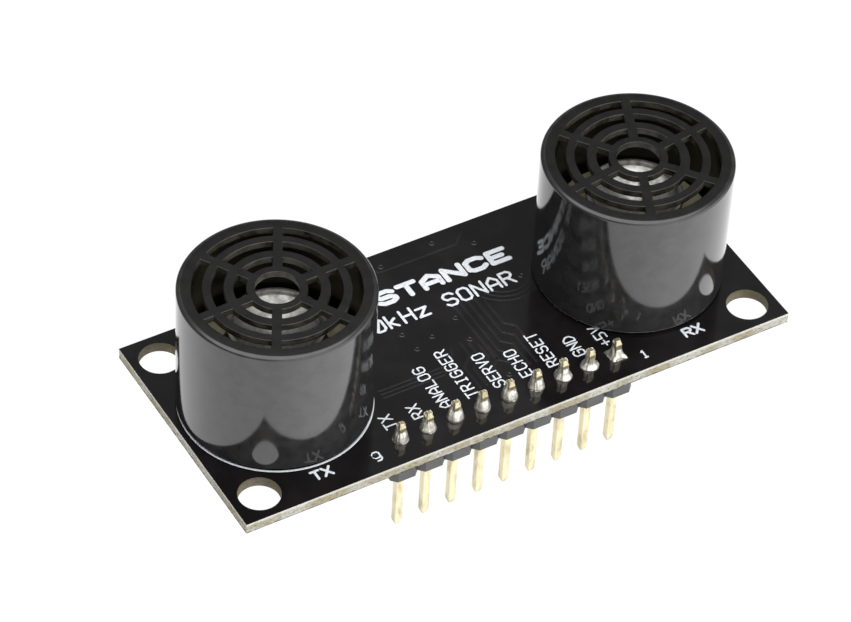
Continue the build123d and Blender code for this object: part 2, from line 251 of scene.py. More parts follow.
def plate(name: str, loops: Iterable[Sequence[Point2]], bottom: float, top: float) -> Mesh:
    """A flat plate whose first loop is its outline and whose other loops are holes.

    Args:
        name: a name for the temporary curve.
        loops: closed outlines, in millimetres.
        bottom: height of the lower face.
        top: height of the upper face.

    Returns:
        The plate's mesh, in millimetres.
    """
    curve = bpy.data.curves.new(name, "CURVE")
    curve.dimensions = "2D"
    curve.fill_mode = "BOTH"
    curve.extrude = (top - bottom) / 2
    for loop in loops:
        spline = curve.splines.new("POLY")
        spline.points.add(len(loop) - 1)
        for point, (x, y) in zip(spline.points, loop):
            point.co = (x, y, 0, 1)
        spline.use_cyclic_u = True
    drawn = bpy.data.objects.new(name, curve)
    bpy.context.scene.collection.objects.link(drawn)
    graph = bpy.context.evaluated_depsgraph_get()
    mesh = bpy.data.meshes.new_from_object(drawn.evaluated_get(graph))
    bpy.data.objects.remove(drawn)
    bpy.data.curves.remove(curve)
    mesh.transform(Matrix.Translation((0, 0, (bottom + top) / 2)))
    return mesh


def lathe(drawn: Drawing, profile: Sequence[Point2], centre: Point2, steps: int = 96) -> None:
    """Turn an open profile about an upright axis; points on the axis close the shape.

    Args:
        drawn: the bmesh to draw in.
        profile: (radius, height) points from one end to the other.
        centre: where the axis stands.
        steps: columns round the axis.
    """
    rows = []
    for radius, height in profile:
        if radius < 1e-6:
            rows.append([drawn.verts.new((*centre, height))] * steps)
        else:
            rows.append([drawn.verts.new((x, y, height)) for x, y in circle(centre, radius, steps)])
    for lower, upper in zip(rows, rows[1:]):
        bridge(drawn, lower, upper)


# --- node trees ---------------------------------------------------------------------------


class Value:
    """A number socket of a shader tree that takes part in Python arithmetic."""

    def __init__(self, tree: "NodeBuilder", socket: Socket) -> None:
        """Wrap a socket of a tree."""
        self.tree = tree
        self.socket = socket

    def maths(self, operation: str, first: Any, second: Any) -> "Value":
        """Add a Math node and return its result."""
        made = self.tree.add("ShaderNodeMath", {"operation": operation}, {0: first, 1: second})
        return Value(self.tree, made.outputs[0])

    def __add__(self, other: Any) -> "Value":
        """self + other."""
        return self.maths("ADD", self, other)

    __radd__ = __add__

    def __sub__(self, other: Any) -> "Value":
        """self - other."""
        return self.maths("SUBTRACT", self, other)

    def __rsub__(self, other: Any) -> "Value":
        """other - self."""
        return self.maths("SUBTRACT", other, self)

    def __mul__(self, other: Any) -> "Value":
        """self * other."""
        return self.maths("MULTIPLY", self, other)

    __rmul__ = __mul__

    def __truediv__(self, other: Any) -> "Value":
        """self / other."""
        return self.maths("DIVIDE", self, other)

    def __pow__(self, other: Any) -> "Value":
        """self ** other."""
        return self.maths("POWER", self, other)

    def step(self, low: float, high: float) -> "Value":
        """A smooth rise from 0 at low to 1 at high."""
        settings = {"interpolation_type": "SMOOTHSTEP"}
        sockets = {"Value": self, "From Min": low, "From Max": high}
        return Value(self.tree, self.tree.add("ShaderNodeMapRange", settings, sockets).outputs[0])


class NodeBuilder:
    """Adds nodes to a node tree of any kind."""

    def __init__(self, tree: bpy.types.NodeTree) -> None:
        """Work on an empty tree."""
        self.tree = tree

    def add(
        self, kind: str, settings: dict[str, Any] | None = None, sockets: dict | None = None
    ) -> bpy.types.Node:
        """Add one node, set it up and feed its sockets.

        Args:
            kind: the node's type.
            settings: its own properties; "stops" holds a ramp's (position, colour) pairs.
            sockets: values or links by input name or number.

        Returns:
            The node.
        """
        node = self.tree.nodes.new(kind)
        for key, value in (settings or {}).items():
            if key == "stops":
                self.set_stops(node.color_ramp, value)
            else:
                setattr(node, key, value)
        for key, value in (sockets or {}).items():
            self.feed(node.inputs[key], value)
        return node

    def feed(self, target: Socket, value: Any) -> None:
        """Link or set one input socket."""
        if isinstance(value, Value):
            value = value.socket
        if isinstance(value, Socket):
            self.tree.links.new(value, target)
        else:
            target.default_value = value

    @staticmethod
    def set_stops(ramp: bpy.types.ColorRamp, stops: Sequence[tuple[float, Colour]]) -> None:
        """Give a colour ramp its stops."""
        while len(ramp.elements) < len(stops):
            ramp.elements.new(1.0)
        for element, (position, colour) in zip(ramp.elements, stops):
            element.position = position
            element.color = (*colour, 1.0)


class ShaderTree(NodeBuilder):
    """A material's node tree round one Principled shader."""

    def __init__(self, name: str, **constants: Any) -> None:
        """Make the material and set the shader's constant sockets.

        Args:
            name: the material's name.
            constants: shader sockets by name, with _ for a space.
        """
        self.material = bpy.data.materials.new(name)
        self.material.use_nodes = True
        super().__init__(self.material.node_tree)
        self.shader = self.tree.nodes["Principled BSDF"]
        for key, value in constants.items():
            self.shader.inputs[key.replace("_", " ")].default_value = value

    def drive(self, socket: str, value: Any) -> None:
        """Feed a socket of the shader that may vary over the surface."""
        self.feed(self.shader.inputs[socket], value)

    def place(self) -> Socket:
        """Object coordinates in millimetres."""
        where = self.add("ShaderNodeTexCoord").outputs["Object"]
        sockets = {0: where, "Scale": 1 / MM}
        return self.add("ShaderNodeVectorMath", {"operation": "SCALE"}, sockets).outputs[0]

    def stretched(self, scale: Point3) -> Socket:
        """Object coordinates in millimetres, times a scale for each axis."""
        sockets = {0: self.place(), 1: scale}
        return self.add("ShaderNodeVectorMath", {"operation": "MULTIPLY"}, sockets).outputs[0]

    def axis(self, letter: str) -> Value:
        """One object coordinate in millimetres."""
        split = self.add("ShaderNodeSeparateXYZ", sockets={0: self.place()})
        return Value(self, split.outputs[letter])

    def noise(self, scale: float, detail: float = 3.0, rough: float = 0.55, where: Any = None) -> Value:
        """Fractal noise from 0 to 1; scale is in waves for each millimetre."""
        sockets = {"Vector": where or self.place(), "Scale": scale, "Detail": detail, "Roughness": rough}
        return Value(self, self.add("ShaderNodeTexNoise", sockets=sockets).outputs["Fac"])

    def mix(self, factor: Any, first: Any, second: Any) -> Socket:
        """Blend two colours; a plain colour is three numbers."""
        colours = [(*c, 1.0) if isinstance(c, tuple) else c for c in (first, second)]
        sockets = {0: factor, 6: colours[0], 7: colours[1]}
        return self.add("ShaderNodeMix", {"data_type": "RGBA"}, sockets).outputs[2]

    def bump(self, height: Any, depth_mm: float, strength: float = 1.0, under: Any = None) -> Socket:
        """A normal from a height from 0 to 1, depth_mm deep."""
        sockets = {"Height": height, "Distance": depth_mm * MM, "Strength": strength}
        if under is not None:
            sockets["Normal"] = under
        return self.add("ShaderNodeBump", sockets=sockets).outputs["Normal"]


class GeometryRecipe(NodeBuilder):
    """A Geometry Nodes tree that is run once on a start mesh and leaves a plain mesh."""

    def __init__(self, name: str) -> None:
        """Start a tree with a geometry input and output."""
        super().__init__(bpy.data.node_groups.new(name, "GeometryNodeTree"))
        self.tree.interface.new_socket("Geometry", in_out="INPUT", socket_type="NodeSocketGeometry")
        self.tree.interface.new_socket("Geometry", in_out="OUTPUT", socket_type="NodeSocketGeometry")
        self.start = self.add("NodeGroupInput")
        self.identifiers: dict[str, str] = {}

    def number(self, name: str, value: float) -> Socket:
        """Add a named number input and return its socket inside the tree."""
        made = self.tree.interface.new_socket(name, in_out="INPUT", socket_type="NodeSocketFloat")
        made.default_value = value
        self.identifiers[name] = made.identifier
        return self.start.outputs[name]

    def finish(self, geometry: Socket, material: bpy.types.Material) -> None:
        """End the tree in Realize Instances and Set Material."""
        realized = self.add("GeometryNodeRealizeInstances", sockets={0: geometry})
        sockets = {"Geometry": realized.outputs[0], "Material": material}
        painted = self.add("GeometryNodeSetMaterial", sockets=sockets)
        self.add("NodeGroupOutput", sockets={0: painted.outputs[0]})

    def make(self, name: str, start: Mesh, **numbers: float) -> Piece:
        """Run the tree on a start mesh and keep the result as a settled piece.

        Args:
            name: the piece's name.
            start: the mesh the tree starts from, in millimetres.
            numbers: the tree's named inputs, with _ for a space.

        Returns:
            The piece, with no modifier left on it.
        """
        source = bpy.data.objects.new(name + "_source", start)
        bpy.context.scene.collection.objects.link(source)
        modifier = source.modifiers.new("recipe", "NODES")
        modifier.node_group = self.tree
        for key, value in numbers.items():
            modifier[self.identifiers[key.replace("_", " ")]] = value
        graph = bpy.context.evaluated_depsgraph_get()
        mesh = bpy.data.meshes.new_from_object(source.evaluated_get(graph))
        bpy.data.objects.remove(source)
        return settle(name, mesh)


# --- finishes -----------------------------------------------------------------------------


@dataclass(frozen=True)
class SolderMask:
    """Glossy black lacquer over the copper, with a faint ripple and dust."""

    name: str = "solder_mask"
    colour: Colour = (0.0052, 0.0045, 0.0048)
    roughness: float = 0.075

    @lru_cache(maxsize=None)
    def material(self) -> bpy.types.Material:
        """Build the material."""
        tree = ShaderTree(self.name, IOR=1.5)
        cloud = tree.noise(0.35, 4.0)
        worn = tuple(1.7 * c for c in self.colour)
        tree.drive("Base Color", tree.mix(cloud.step(0.4, 0.7), self.colour, worn))
        speck = tree.noise(9.0, 5.0).step(0.62, 0.74)
        tree.drive("Roughness", self.roughness + 0.05 * cloud + 0.25 * speck)
        ripple = tree.bump(tree.noise(1.3, 2.0), 0.006, 0.35)
        tree.drive("Normal", tree.bump(tree.noise(22.0, 3.0), 0.0012, 0.35, ripple))
        return tree.material


@dataclass(frozen=True)
class Laminate:
    """Sawn glass-epoxy laminate: mottled layers, fuzzy fibres and a pale upper fringe."""

    name: str = "glass_laminate"
    resin: Colour = (0.295, 0.266, 0.175)
    fibre: Colour = (0.42, 0.41, 0.36)
    shadow: Colour = (0.085, 0.072, 0.048)
    fringe: Colour = (0.60, 0.59, 0.54)

    @lru_cache(maxsize=None)
    def material(self) -> bpy.types.Material:
        """Build the material."""
        tree = ShaderTree(self.name, IOR=1.5, Roughness=0.75)
        patches = tree.noise(0.35, 3.0)
        streaks = tree.noise(2.2, 5.0, 0.7, tree.stretched((1.0, 1.0, 5.0)))
        tufts = tree.noise(5.0, 5.0, 0.8)
        tone = tree.mix(patches.step(0.40, 0.60), self.resin, self.fibre)
        tone = tree.mix(streaks.step(0.50, 0.62) * 0.75, tone, self.shadow)
        tone = tree.mix(tufts.step(0.53, 0.64) * 0.55, tone, self.shadow)
        upper = (tree.axis("Z") + 0.35 * streaks).step(0.80, 1.02)
        tone = tree.mix(upper * 0.75, tone, self.fringe)
        tree.drive("Base Color", tone)
        under = tree.bump(streaks, 0.06, 0.8)
        tree.drive("Normal", tree.bump(tufts, 0.08, 1.0, under))
        return tree.material


@dataclass(frozen=True)
class LegendInk:
    """White screen-printed ink, slightly uneven and matte."""

    name: str = "legend_ink"
    colour: Colour = (0.72, 0.75, 0.79)

    @lru_cache(maxsize=None)
    def material(self) -> bpy.types.Material:
        """Build the material."""
        tree = ShaderTree(self.name, IOR=1.5, Roughness=0.55)
        patch = tree.noise(6.0, 4.0)
        thin = tuple(0.78 * c for c in self.colour)
        tree.drive("Base Color", tree.mix(patch.step(0.35, 0.6), thin, self.colour))
        tree.drive("Normal", tree.bump(tree.noise(18.0, 3.0), 0.004, 0.5))
        return tree.material


@dataclass(frozen=True)
class MouldedPlastic:
    """Moulded plastic, from a glossy wall to a fine matte grain."""

    name: str
    colour: Colour
    roughness: float
    grain: float = 14.0
    depth_mm: float = 0.002
    mottle: float = 0.35
    dust: float = 0.0

    @lru_cache(maxsize=None)
    def material(self) -> bpy.types.Material:
        """Build the material."""
        tree = ShaderTree(self.name, IOR=1.5)
        cloud = tree.noise(0.8, 4.0)
        dark = tuple((1 - self.mottle) * c for c in self.colour)
        tone = tree.mix(cloud.step(0.3, 0.65), dark, self.colour)
        specks = tree.noise(11.0, 4.0, 0.7).step(0.66, 0.76)
        if self.dust:
            tone = tree.mix(specks * self.dust, tone, (0.35, 0.33, 0.29))
        tree.drive("Base Color", tone)
        tree.drive("Roughness", self.roughness + 0.06 * cloud + 0.3 * self.dust * specks)
        swell = tree.bump(tree.noise(0.45, 2.0), 0.02, 0.05)
        tree.drive("Normal", tree.bump(tree.noise(self.grain, 3.0), self.depth_mm, 0.6, swell))
        return tree.material


@dataclass(frozen=True)
class Metal:
    """Plated, spun or tinned metal with tarnish and fine marks."""

    name: str
    colour: Colour
    tarnish: Colour
    roughness: float
    tarnish_share: float = 0.5
    scale: float = 2.0
    grain: Point3 = (1.0, 1.0, 1.0)
    depth_mm: float = 0.004

    @lru_cache(maxsize=None)
    def material(self) -> bpy.types.Material:
        """Build the material."""
        tree = ShaderTree(self.name, Metallic=1.0)
        where = tree.stretched(self.grain)
        cloud = tree.noise(self.scale, 5.0, 0.6, where)
        fine = tree.noise(8 * self.scale, 4.0, 0.6, where)
        edge = 0.72 - 0.4 * self.tarnish_share
        dulled = cloud.step(edge - 0.14, edge + 0.14)
        tree.drive("Base Color", tree.mix(dulled, self.colour, self.tarnish))
        tree.drive("Roughness", self.roughness + 0.18 * cloud.step(0.35, 0.75) + 0.1 * fine)
        under = tree.bump(cloud, 3 * self.depth_mm, 0.5)
        tree.drive("Normal", tree.bump(fine, self.depth_mm, 0.5, under))
        return tree.material


MASK = SolderMask()
MASK_OVER_COPPER = SolderMask("solder_mask_over_copper", (0.0085, 0.0078, 0.0080), 0.11)
LAMINATE = Laminate()
# A darker copy of the laminate for the walls of the drilled holes: painted shade inside the holes.
SHADED_HOLE_WALL = Laminate(
    name="drilled_wall_painted_shade",
    resin=(0.088, 0.068, 0.032),
    fibre=(0.115, 0.098, 0.058),
    shadow=(0.022, 0.018, 0.010),
    fringe=(0.085, 0.070, 0.034),
)
INK = LegendInk()
CAN_WALL = MouldedPlastic("can_wall", (0.031, 0.030, 0.030), 0.06, grain=11.0, depth_mm=0.0026, dust=0.12)
CAN_GRILLE = MouldedPlastic("can_grille", (0.0085, 0.0080, 0.0076), 0.17, 24.0, depth_mm=0.005, dust=0.3)
# Slot walls far lighter and more olive than the grille, mottled: painted highlights and reflections on the
# same black plastic.
CAN_SLOT_HIGHLIGHT = MouldedPlastic("can_slot_painted_highlights", (0.055, 0.053, 0.040), 0.14, mottle=0.85, dust=0.2)
HEADER_BLACK = MouldedPlastic("header_black", (0.030, 0.030, 0.031), 0.42, depth_mm=0.004)
BASE_RESIN = MouldedPlastic("base_resin", (0.30, 0.28, 0.17), 0.6, depth_mm=0.01)
SILICONE = MouldedPlastic("silicone", (0.62, 0.62, 0.58), 0.5)
CHIP_EPOXY = MouldedPlastic("chip_epoxy", (0.021, 0.021, 0.022), 0.5, grain=20.0, depth_mm=0.008)
SWITCH_BLACK = MouldedPlastic("switch_black", (0.018, 0.018, 0.018), 0.45)
BUTTON_BLACK = MouldedPlastic("button_black", (0.028, 0.027, 0.027), 0.38)
RESISTOR_GLAZE = MouldedPlastic("resistor_glaze", (0.014, 0.014, 0.015), 0.22)
CAPACITOR_CERAMIC = MouldedPlastic("capacitor_ceramic", (0.42, 0.30, 0.19), 0.42)
TANTALUM_OCHRE = MouldedPlastic("tantalum_ochre", (0.66, 0.36, 0.07), 0.45)
LED_CLEAR = MouldedPlastic("led_clear", (0.80, 0.77, 0.55), 0.12)
PIEZO_SILVER = MouldedPlastic("piezo_silver", (0.55, 0.52, 0.42), 0.4)
# Gold darkened well below plated gold: painted shade for the board's shadow on the pins.
PIN_GOLD_SHADED = Metal("pin_gold", (0.51, 0.46, 0.31), (0.37, 0.32, 0.20), 0.30, 0.35, 1.6, (1.0, 1.0, 0.3))
SOLDER = Metal("solder_tin", (0.82, 0.80, 0.73), (0.52, 0.48, 0.41), 0.33, 0.35, 1.8, (1.0, 1.0, 0.5))
LEAD_TIN = Metal("lead_tin", (0.56, 0.55, 0.53), (0.36, 0.35, 0.33), 0.28, 0.4)
CAN_STEEL = Metal("crystal_steel", (0.40, 0.40, 0.39), (0.27, 0.265, 0.26), 0.26, 0.4, 1.0, (1.0, 5.0, 1.0))
CONE_ALUMINIUM = Metal("cone_aluminium", (0.60, 0.60, 0.57), (0.34, 0.33, 0.31), 0.26, 0.5, 1.4)
CONE_LIP = Metal("cone_lip", (0.26, 0.26, 0.235), (0.15, 0.145, 0.125), 0.42, 0.5, 1.8)
PLATE_BRASS = Metal("plate_brass", (0.78, 0.62, 0.32), (0.52, 0.38, 0.19), 0.35, 0.4)
WIRE_COPPER = Metal("wire_copper", (0.80, 0.46, 0.27), (0.55, 0.28, 0.15), 0.35, 0.4)


# --- sub-assemblies -----------------------------------------------------------------------


@dataclass
class SubAssembly:
    """What every sub-assembly does with a finished piece."""

    body: str = BOARD_BODY

    def fit(self, piece: Piece, finish: Any, slot: str, *nodes: str) -> Piece:
        """Dress a piece, put it on the body and hide the CAD nodes that it stands for.

        Args:
            piece: the finished object.
            finish: its finish, or None where it is already dressed.
            slot: not used.
            nodes: the CAD nodes that it replaces.

        Returns:
            The piece.
        """
        if finish is not None:
            paint(piece, finish)
        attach(piece, self.body)
        if nodes:
            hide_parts(*nodes)
        LOG.info("%s: %d faces on %s", piece.name, len(piece.data.polygons), self.body)
        return piece

    @staticmethod
    def dress(stem: str, finishes: dict[str, Any]) -> None:
        """Give CAD nodes their finishes and leave their shapes alone.

        Args:
            stem: what the nodes' names begin with.
            finishes: each node's finish, by the rest of its name.
        """
        for rest, finish in finishes.items():
            paint(NODES[stem + rest], finish)
            LOG.info("%s: CAD shape in %s", stem + rest, finish.name)


@dataclass
class CircuitBoard(SubAssembly):
    """The bare board: laminate core, a mask on each face, tracks, vias and pads."""

    mask_thickness: float = 0.03
    mask_inset: float = 0.012
    hole_radius: float = 1.75
    hole_inset: float = 2.5
    hole_relief: float = 0.03
    pin_hole: float = 0.50
    terminal_hole: float = 0.60
    terminal_relief: tuple[float, float] = (0.62, 1.1)
    pad_radius: float = 0.69
    pad_bore: float = 0.45
    terminal_pad: Point2 = (1.08, 0.52)
    square_pad: float = 1.38
    pad_inset: float = 0.02
    pad_lift: float = 0.008
    core_inset: float = 0.06
    edge_step: float = 0.16
    edge_rows: int = 8
    edge_fuzz: float = 0.040
    track_width: float = 0.46
    track_rise: float = 0.020
    track_sink: float = 0.014
    via_radius: float = 0.19
    via_width: float = 0.22
    via_rise: float = 0.030

    def __post_init__(self) -> None:
        """Read the board's box from the frame."""
        self.low, self.high = box_mm("circuit_board")
        self.pins = pin_centres()

    def mounting_holes(self) -> list[Point2]:
        """Centres of the four mounting holes."""
        x, y = self.high.x - self.hole_inset, self.high.y - self.hole_inset
        return [(-x, -y), (x, -y), (x, y), (-x, y)]

    def outline(self, inset: float = 0.0) -> list[Point2]:
        """The board's outline, drawn in by a little."""
        low = (self.low.x + inset, self.low.y + inset)
        return rectangle(low, (self.high.x - inset, self.high.y - inset))

    def terminal_holes(self) -> list[Point2]:
        """Centres of the four holes of the transducers' terminals."""
        found = []
        for unit in Unit:
            low, high = box_mm(f"{unit.value}_terminals")
            x, radius = (low.x + high.x) / 2, (high.x - low.x) / 2
            found += [(x, low.y + radius), (x, high.y - radius)]
        return found

    def drilled(self) -> list[list[Point2]]:
        """Every hole through the laminate."""
        loops = [circle(centre, self.hole_radius) for centre in self.mounting_holes()]
        loops += [circle((pin.x, pin.y), self.pin_hole, 32) for pin in self.pins]
        return loops + [circle(centre, self.terminal_hole, 32) for centre in self.terminal_holes()]

    def build_laminate(self) -> Piece:
        """The glass-epoxy core, with fuzzy sawn edges."""
        bottom, top = self.low.z + self.mask_thickness, self.high.z - self.mask_thickness
        flat = plate("laminate", [self.outline(self.core_inset), *self.drilled()], bottom, top)
        drawn = bmesh.new()
        drawn.from_mesh(flat)
        bpy.data.meshes.remove(flat)
        self.draw_edge(drawn, bottom, top)
        piece = settle_bmesh("board_laminate", drawn, smooth=False)
        paint(piece, LAMINATE, SHADED_HOLE_WALL)
        # Faces away from the sawn edge, mostly the walls of the drilled holes, take the darker laminate
        # copy, which is painted shade.
        for face in piece.data.polygons:
            across, along = (abs(value) / MM for value in face.center.xy)
            at_edge = across > self.high.x - 0.2 or along > self.high.y - 0.2
            face.material_index = 0 if at_edge else 1
        return self.fit(piece, None, "board_mask", "circuit_board")

    def draw_edge(self, drawn: Drawing, bottom: float, top: float) -> None:
        """Draw the sawn band round the core: a grid pushed in and out by noise.

        Args:
            drawn: the bmesh to draw in.
            bottom: the core's lower face.
            top: the core's upper face.
        """
        corners = [Vector((*corner, 0)) for corner in self.outline()]
        rows, columns = self.edge_rows, []
        for start, end in zip(corners, corners[1:] + corners[:1]):
            steps = round((end - start).length / self.edge_step)
            outward = (end - start).cross(Vector((0, 0, 1))).normalized()
            columns += [(start.lerp(end, step / steps), outward, step) for step in range(steps)]
        grid = []
        for point, outward, step in columns:
            column = []
            for row in range(rows + 1):
                height = bottom + (top - bottom) * row / rows
                place = Vector((point.x, point.y, height))
                depth = self.edge_fuzz * (noise.fractal(place * 2.6, 0.6, 2.2, 4) - 0.9)
                if step == 0:
                    outward = Vector((math.copysign(0.7, point.x), math.copysign(0.7, point.y), 0))
                column.append(drawn.verts.new(place + outward * min(depth, 0.0)))
            inset = self.core_inset
            inner = point - Vector((math.copysign(inset, point.x), math.copysign(inset, point.y), 0))
            if step:
                inner = point - outward * inset
            column.insert(0, drawn.verts.new((inner.x, inner.y, bottom)))
            column.append(drawn.verts.new((inner.x, inner.y, top)))
            grid.append(column)
        for left, right in zip(grid, grid[1:] + grid[:1]):
            for row in range(rows + 2):
                drawn.faces.new((left[row], right[row], right[row + 1], left[row + 1]))

    def build_mask(self, face: Face) -> Piece:
        """The black lacquer on one face, open round the holes and pads.

        Args:
            face: the face that it covers.

        Returns:
            The lacquer's piece.
        """
        on_top = face is Face.TOP
        bottom = self.high.z - self.mask_thickness if on_top else self.low.z
        relief = self.terminal_relief[0 if on_top else 1]
        loops = [self.outline(self.mask_inset)]
        relieved = self.hole_radius + self.hole_relief
        loops += [circle(centre, relieved) for centre in self.mounting_holes()]
        loops += [circle(centre, relief, 40) for centre in self.terminal_holes()]
        loops.append(square(self.pins[0], self.square_pad / 2))
        loops += [circle((pin.x, pin.y), self.pad_radius, 40) for pin in self.pins[1:]]
        mesh = plate("mask", loops, bottom, bottom + self.mask_thickness)
        return self.fit(settle(f"solder_mask_{face.value}", mesh), MASK, "board_mask")

    def build_pads(self) -> Piece:
        """The tinned pads on both faces, seen round the solder."""
        outer = self.pad_radius - self.pad_inset
        spots = [((pin.x, pin.y), outer, self.pad_bore) for pin in self.pins[1:]]
        spots += [(centre, *self.terminal_pad) for centre in self.terminal_holes()]
        pads = [(circle(centre, wide, 40), circle(centre, bore, 40)) for centre, wide, bore in spots]
        first = self.pins[0]
        bored = circle((first.x, first.y), self.pad_bore, 40)
        half = self.square_pad / 2 - self.pad_inset
        pads.append(([self.squared(point, first, half) for point in bored], bored))
        drawn = bmesh.new()
        for outline, bore in pads:
            for height in (self.high.z - self.pad_lift, self.low.z + self.pad_lift):
                self.draw_washer(drawn, outline, bore, height)
        return self.fit(settle_bmesh("tinned_pads", drawn, smooth=False), SOLDER, "solder")

    @staticmethod
    def squared(point: Point2, centre: Vector, half: float) -> Point2:
        """Push a point of a circle out to the square round it."""
        dx, dy = point[0] - centre.x, point[1] - centre.y
        stretch = half / max(abs(dx), abs(dy))
        return (centre.x + dx * stretch, centre.y + dy * stretch)

    def draw_washer(self, drawn: Drawing, outer: list[Point2], inner: list[Point2], height: float) -> None:
        """Draw a thin closed washer between two outlines with as many points."""
        low, high = height - self.pad_lift, height + self.pad_lift
        rings = []
        for outline, level in ((outer, low), (outer, high), (inner, high), (inner, low)):
            rings.append([drawn.verts.new((x, y, level)) for x, y in outline])
        for first, second in zip(rings, rings[1:] + rings[:1]):
            bridge(drawn, first, second)

    def build_tracks(self, recipe: "StrokeRecipe") -> Piece:
        """Copper tracks that stand up a little under the lacquer."""
        level = self.high.z - self.track_sink
        size = (self.track_width, self.track_rise)
        piece = recipe.draw("tracks_under_mask", self.track_lines(), level, *size)
        return self.fit(piece, MASK_OVER_COPPER, "board_mask")

    def track_lines(self) -> list[list[Point2]]:
        """Routes of the tracks: two bundles from the header, a bus to the left and short arcs."""
        lines = []
        for lane in range(5):
            x, foot = 1.3 + 0.66 * lane, -4.3 + 0.85 * lane
            lines.append([(x, 4.4 - 0.6 * lane), (x, foot), (x + 0.8, foot - 0.8), (x + 0.8, -6.0)])
        for lane in range(4):
            x, top = -1.5 + 0.62 * lane, -1.3 - 0.45 * lane
            lines.append([(x, -6.4), (x, top - 2.6), (x + 1.1, top - 1.5), (x + 1.1, top)])
        for lane in range(3):
            y = -3.0 - 0.42 * lane
            lines.append([(-9.0, y), (-2.8 - 0.3 * lane, y), (-1.4 - 0.3 * lane, y + 1.4)])
        for lane in range(3):
            reach = 3.6 - 0.5 * lane
            turns = [math.radians(215 + 13 * step) for step in range(8)]
            lines.append([(6.9 + reach * math.cos(t), 4.6 + reach * math.sin(t)) for t in turns])
        lines.append([(-8.0, 9.8), (-3.0, 9.8), (-2.2, 9.0), (5.2, 9.0), (6.3, 10.1)])
        return lines

    def build_vias(self, recipe: "StrokeRecipe") -> Piece:
        """Small tented vias: a raised ring each, in a few loose rows."""
        places = [(0.7, 1.4), (0.5, -1.3), (6.6, 8.4), (3.4, 10.0), (-4.2, 1.7), (-2.1, 0.4)]
        places += [(-3.9, -0.3), (-1.8, 9.5), (1.3, -6.3), (8.1, 3.2), (-20.8, 9.6), (21.9, -3.9)]
        places += [(13.4, 8.6), (-12.9, -9.2)]
        loops = [circle(place, self.via_radius, 14) for place in places]
        lines = [loop + loop[:1] for loop in loops]
        level = self.high.z - self.track_sink
        piece = recipe.draw("tented_vias", lines, level, self.via_width, self.via_rise)
        return self.fit(piece, MASK_OVER_COPPER, "board_mask")

    def build(self, recipe: "StrokeRecipe") -> None:
        """Build every layer of the board."""
        self.build_laminate()
        for face in Face:
            self.build_mask(face)
        self.build_pads()
        self.build_tracks(recipe)
        self.build_vias(recipe)


class StrokeRecipe:
    """Geometry Nodes that turn lines into low rounded ridges, as ink or a masked track is."""

    def __init__(self) -> None:
        """Build the tree: a bead along each stroke's piece and a ball at each of its points."""
        recipe = GeometryRecipe("raised_strokes")
        width = recipe.number("Width", 0.2)
        rise = recipe.number("Rise", 0.02)
        level = recipe.number("Level", 1.0)
        radius = recipe.add("ShaderNodeMath", {"operation": "MULTIPLY"}, {0: width, 1: 0.5}).outputs[0]
        lines = recipe.add("GeometryNodeMeshToCurve", sockets={0: recipe.start.outputs["Geometry"]})
        sockets = {"Resolution": 10, "Radius": radius}
        section = recipe.add("GeometryNodeCurvePrimitiveCircle", sockets=sockets)
        swept = {"Curve": lines.outputs[0], "Profile Curve": section.outputs[0], "Fill Caps": True}
        beads = recipe.add("GeometryNodeCurveToMesh", sockets=swept)
        sockets = {"Segments": 12, "Rings": 6, "Radius": radius}
        ball = recipe.add("GeometryNodeMeshUVSphere", sockets=sockets)
        corners = recipe.add("GeometryNodeMergeByDistance", sockets={0: recipe.start.outputs["Geometry"]})
        spread = {"Points": corners.outputs[0], "Instance": ball.outputs["Mesh"]}
        balls = recipe.add("GeometryNodeInstanceOnPoints", sockets=spread)
        joined = recipe.add("GeometryNodeJoinGeometry")
        recipe.tree.links.new(beads.outputs[0], joined.inputs[0])
        recipe.tree.links.new(balls.outputs[0], joined.inputs[0])
        whole = recipe.add("GeometryNodeRealizeInstances", sockets={0: joined.outputs[0]})
        flat = recipe.add("ShaderNodeMath", {"operation": "DIVIDE"}, {0: rise, 1: radius}).outputs[0]
        squash = recipe.add("ShaderNodeCombineXYZ", sockets={"X": 1.0, "Y": 1.0, "Z": flat}).outputs[0]
        lift = recipe.add("ShaderNodeCombineXYZ", sockets={"Z": level}).outputs[0]
        moved = {"Geometry": whole.outputs[0], "Scale": squash, "Translation": lift}
        pressed = recipe.add("GeometryNodeTransform", sockets=moved)
        smooth = recipe.add("GeometryNodeSetShadeSmooth", sockets={0: pressed.outputs[0]})
        recipe.finish(smooth.outputs[0], INK.material())
        self.recipe = recipe

    def draw(
        self, name: str, lines: Iterable[Sequence[Point2]], level: float, width: float, rise: float
    ) -> Piece:
        """Make one piece from many lines.

        Args:
            name: the piece's name.
            lines: open lines in the board's plane, in millimetres.
            level: the height that the strokes lie on.
            width: a stroke's width.
            rise: how far a stroke stands up.

        Returns:
            The piece.
        """
        drawn = bmesh.new()
        for line in lines:
            for ends in zip(line, line[1:]):
                drawn.edges.new([drawn.verts.new((x, y, 0)) for x, y in ends])
        start = bpy.data.meshes.new(name)
        drawn.to_mesh(start)
        drawn.free()
        return self.recipe.make(name, start, Width=width, Rise=rise, Level=level)


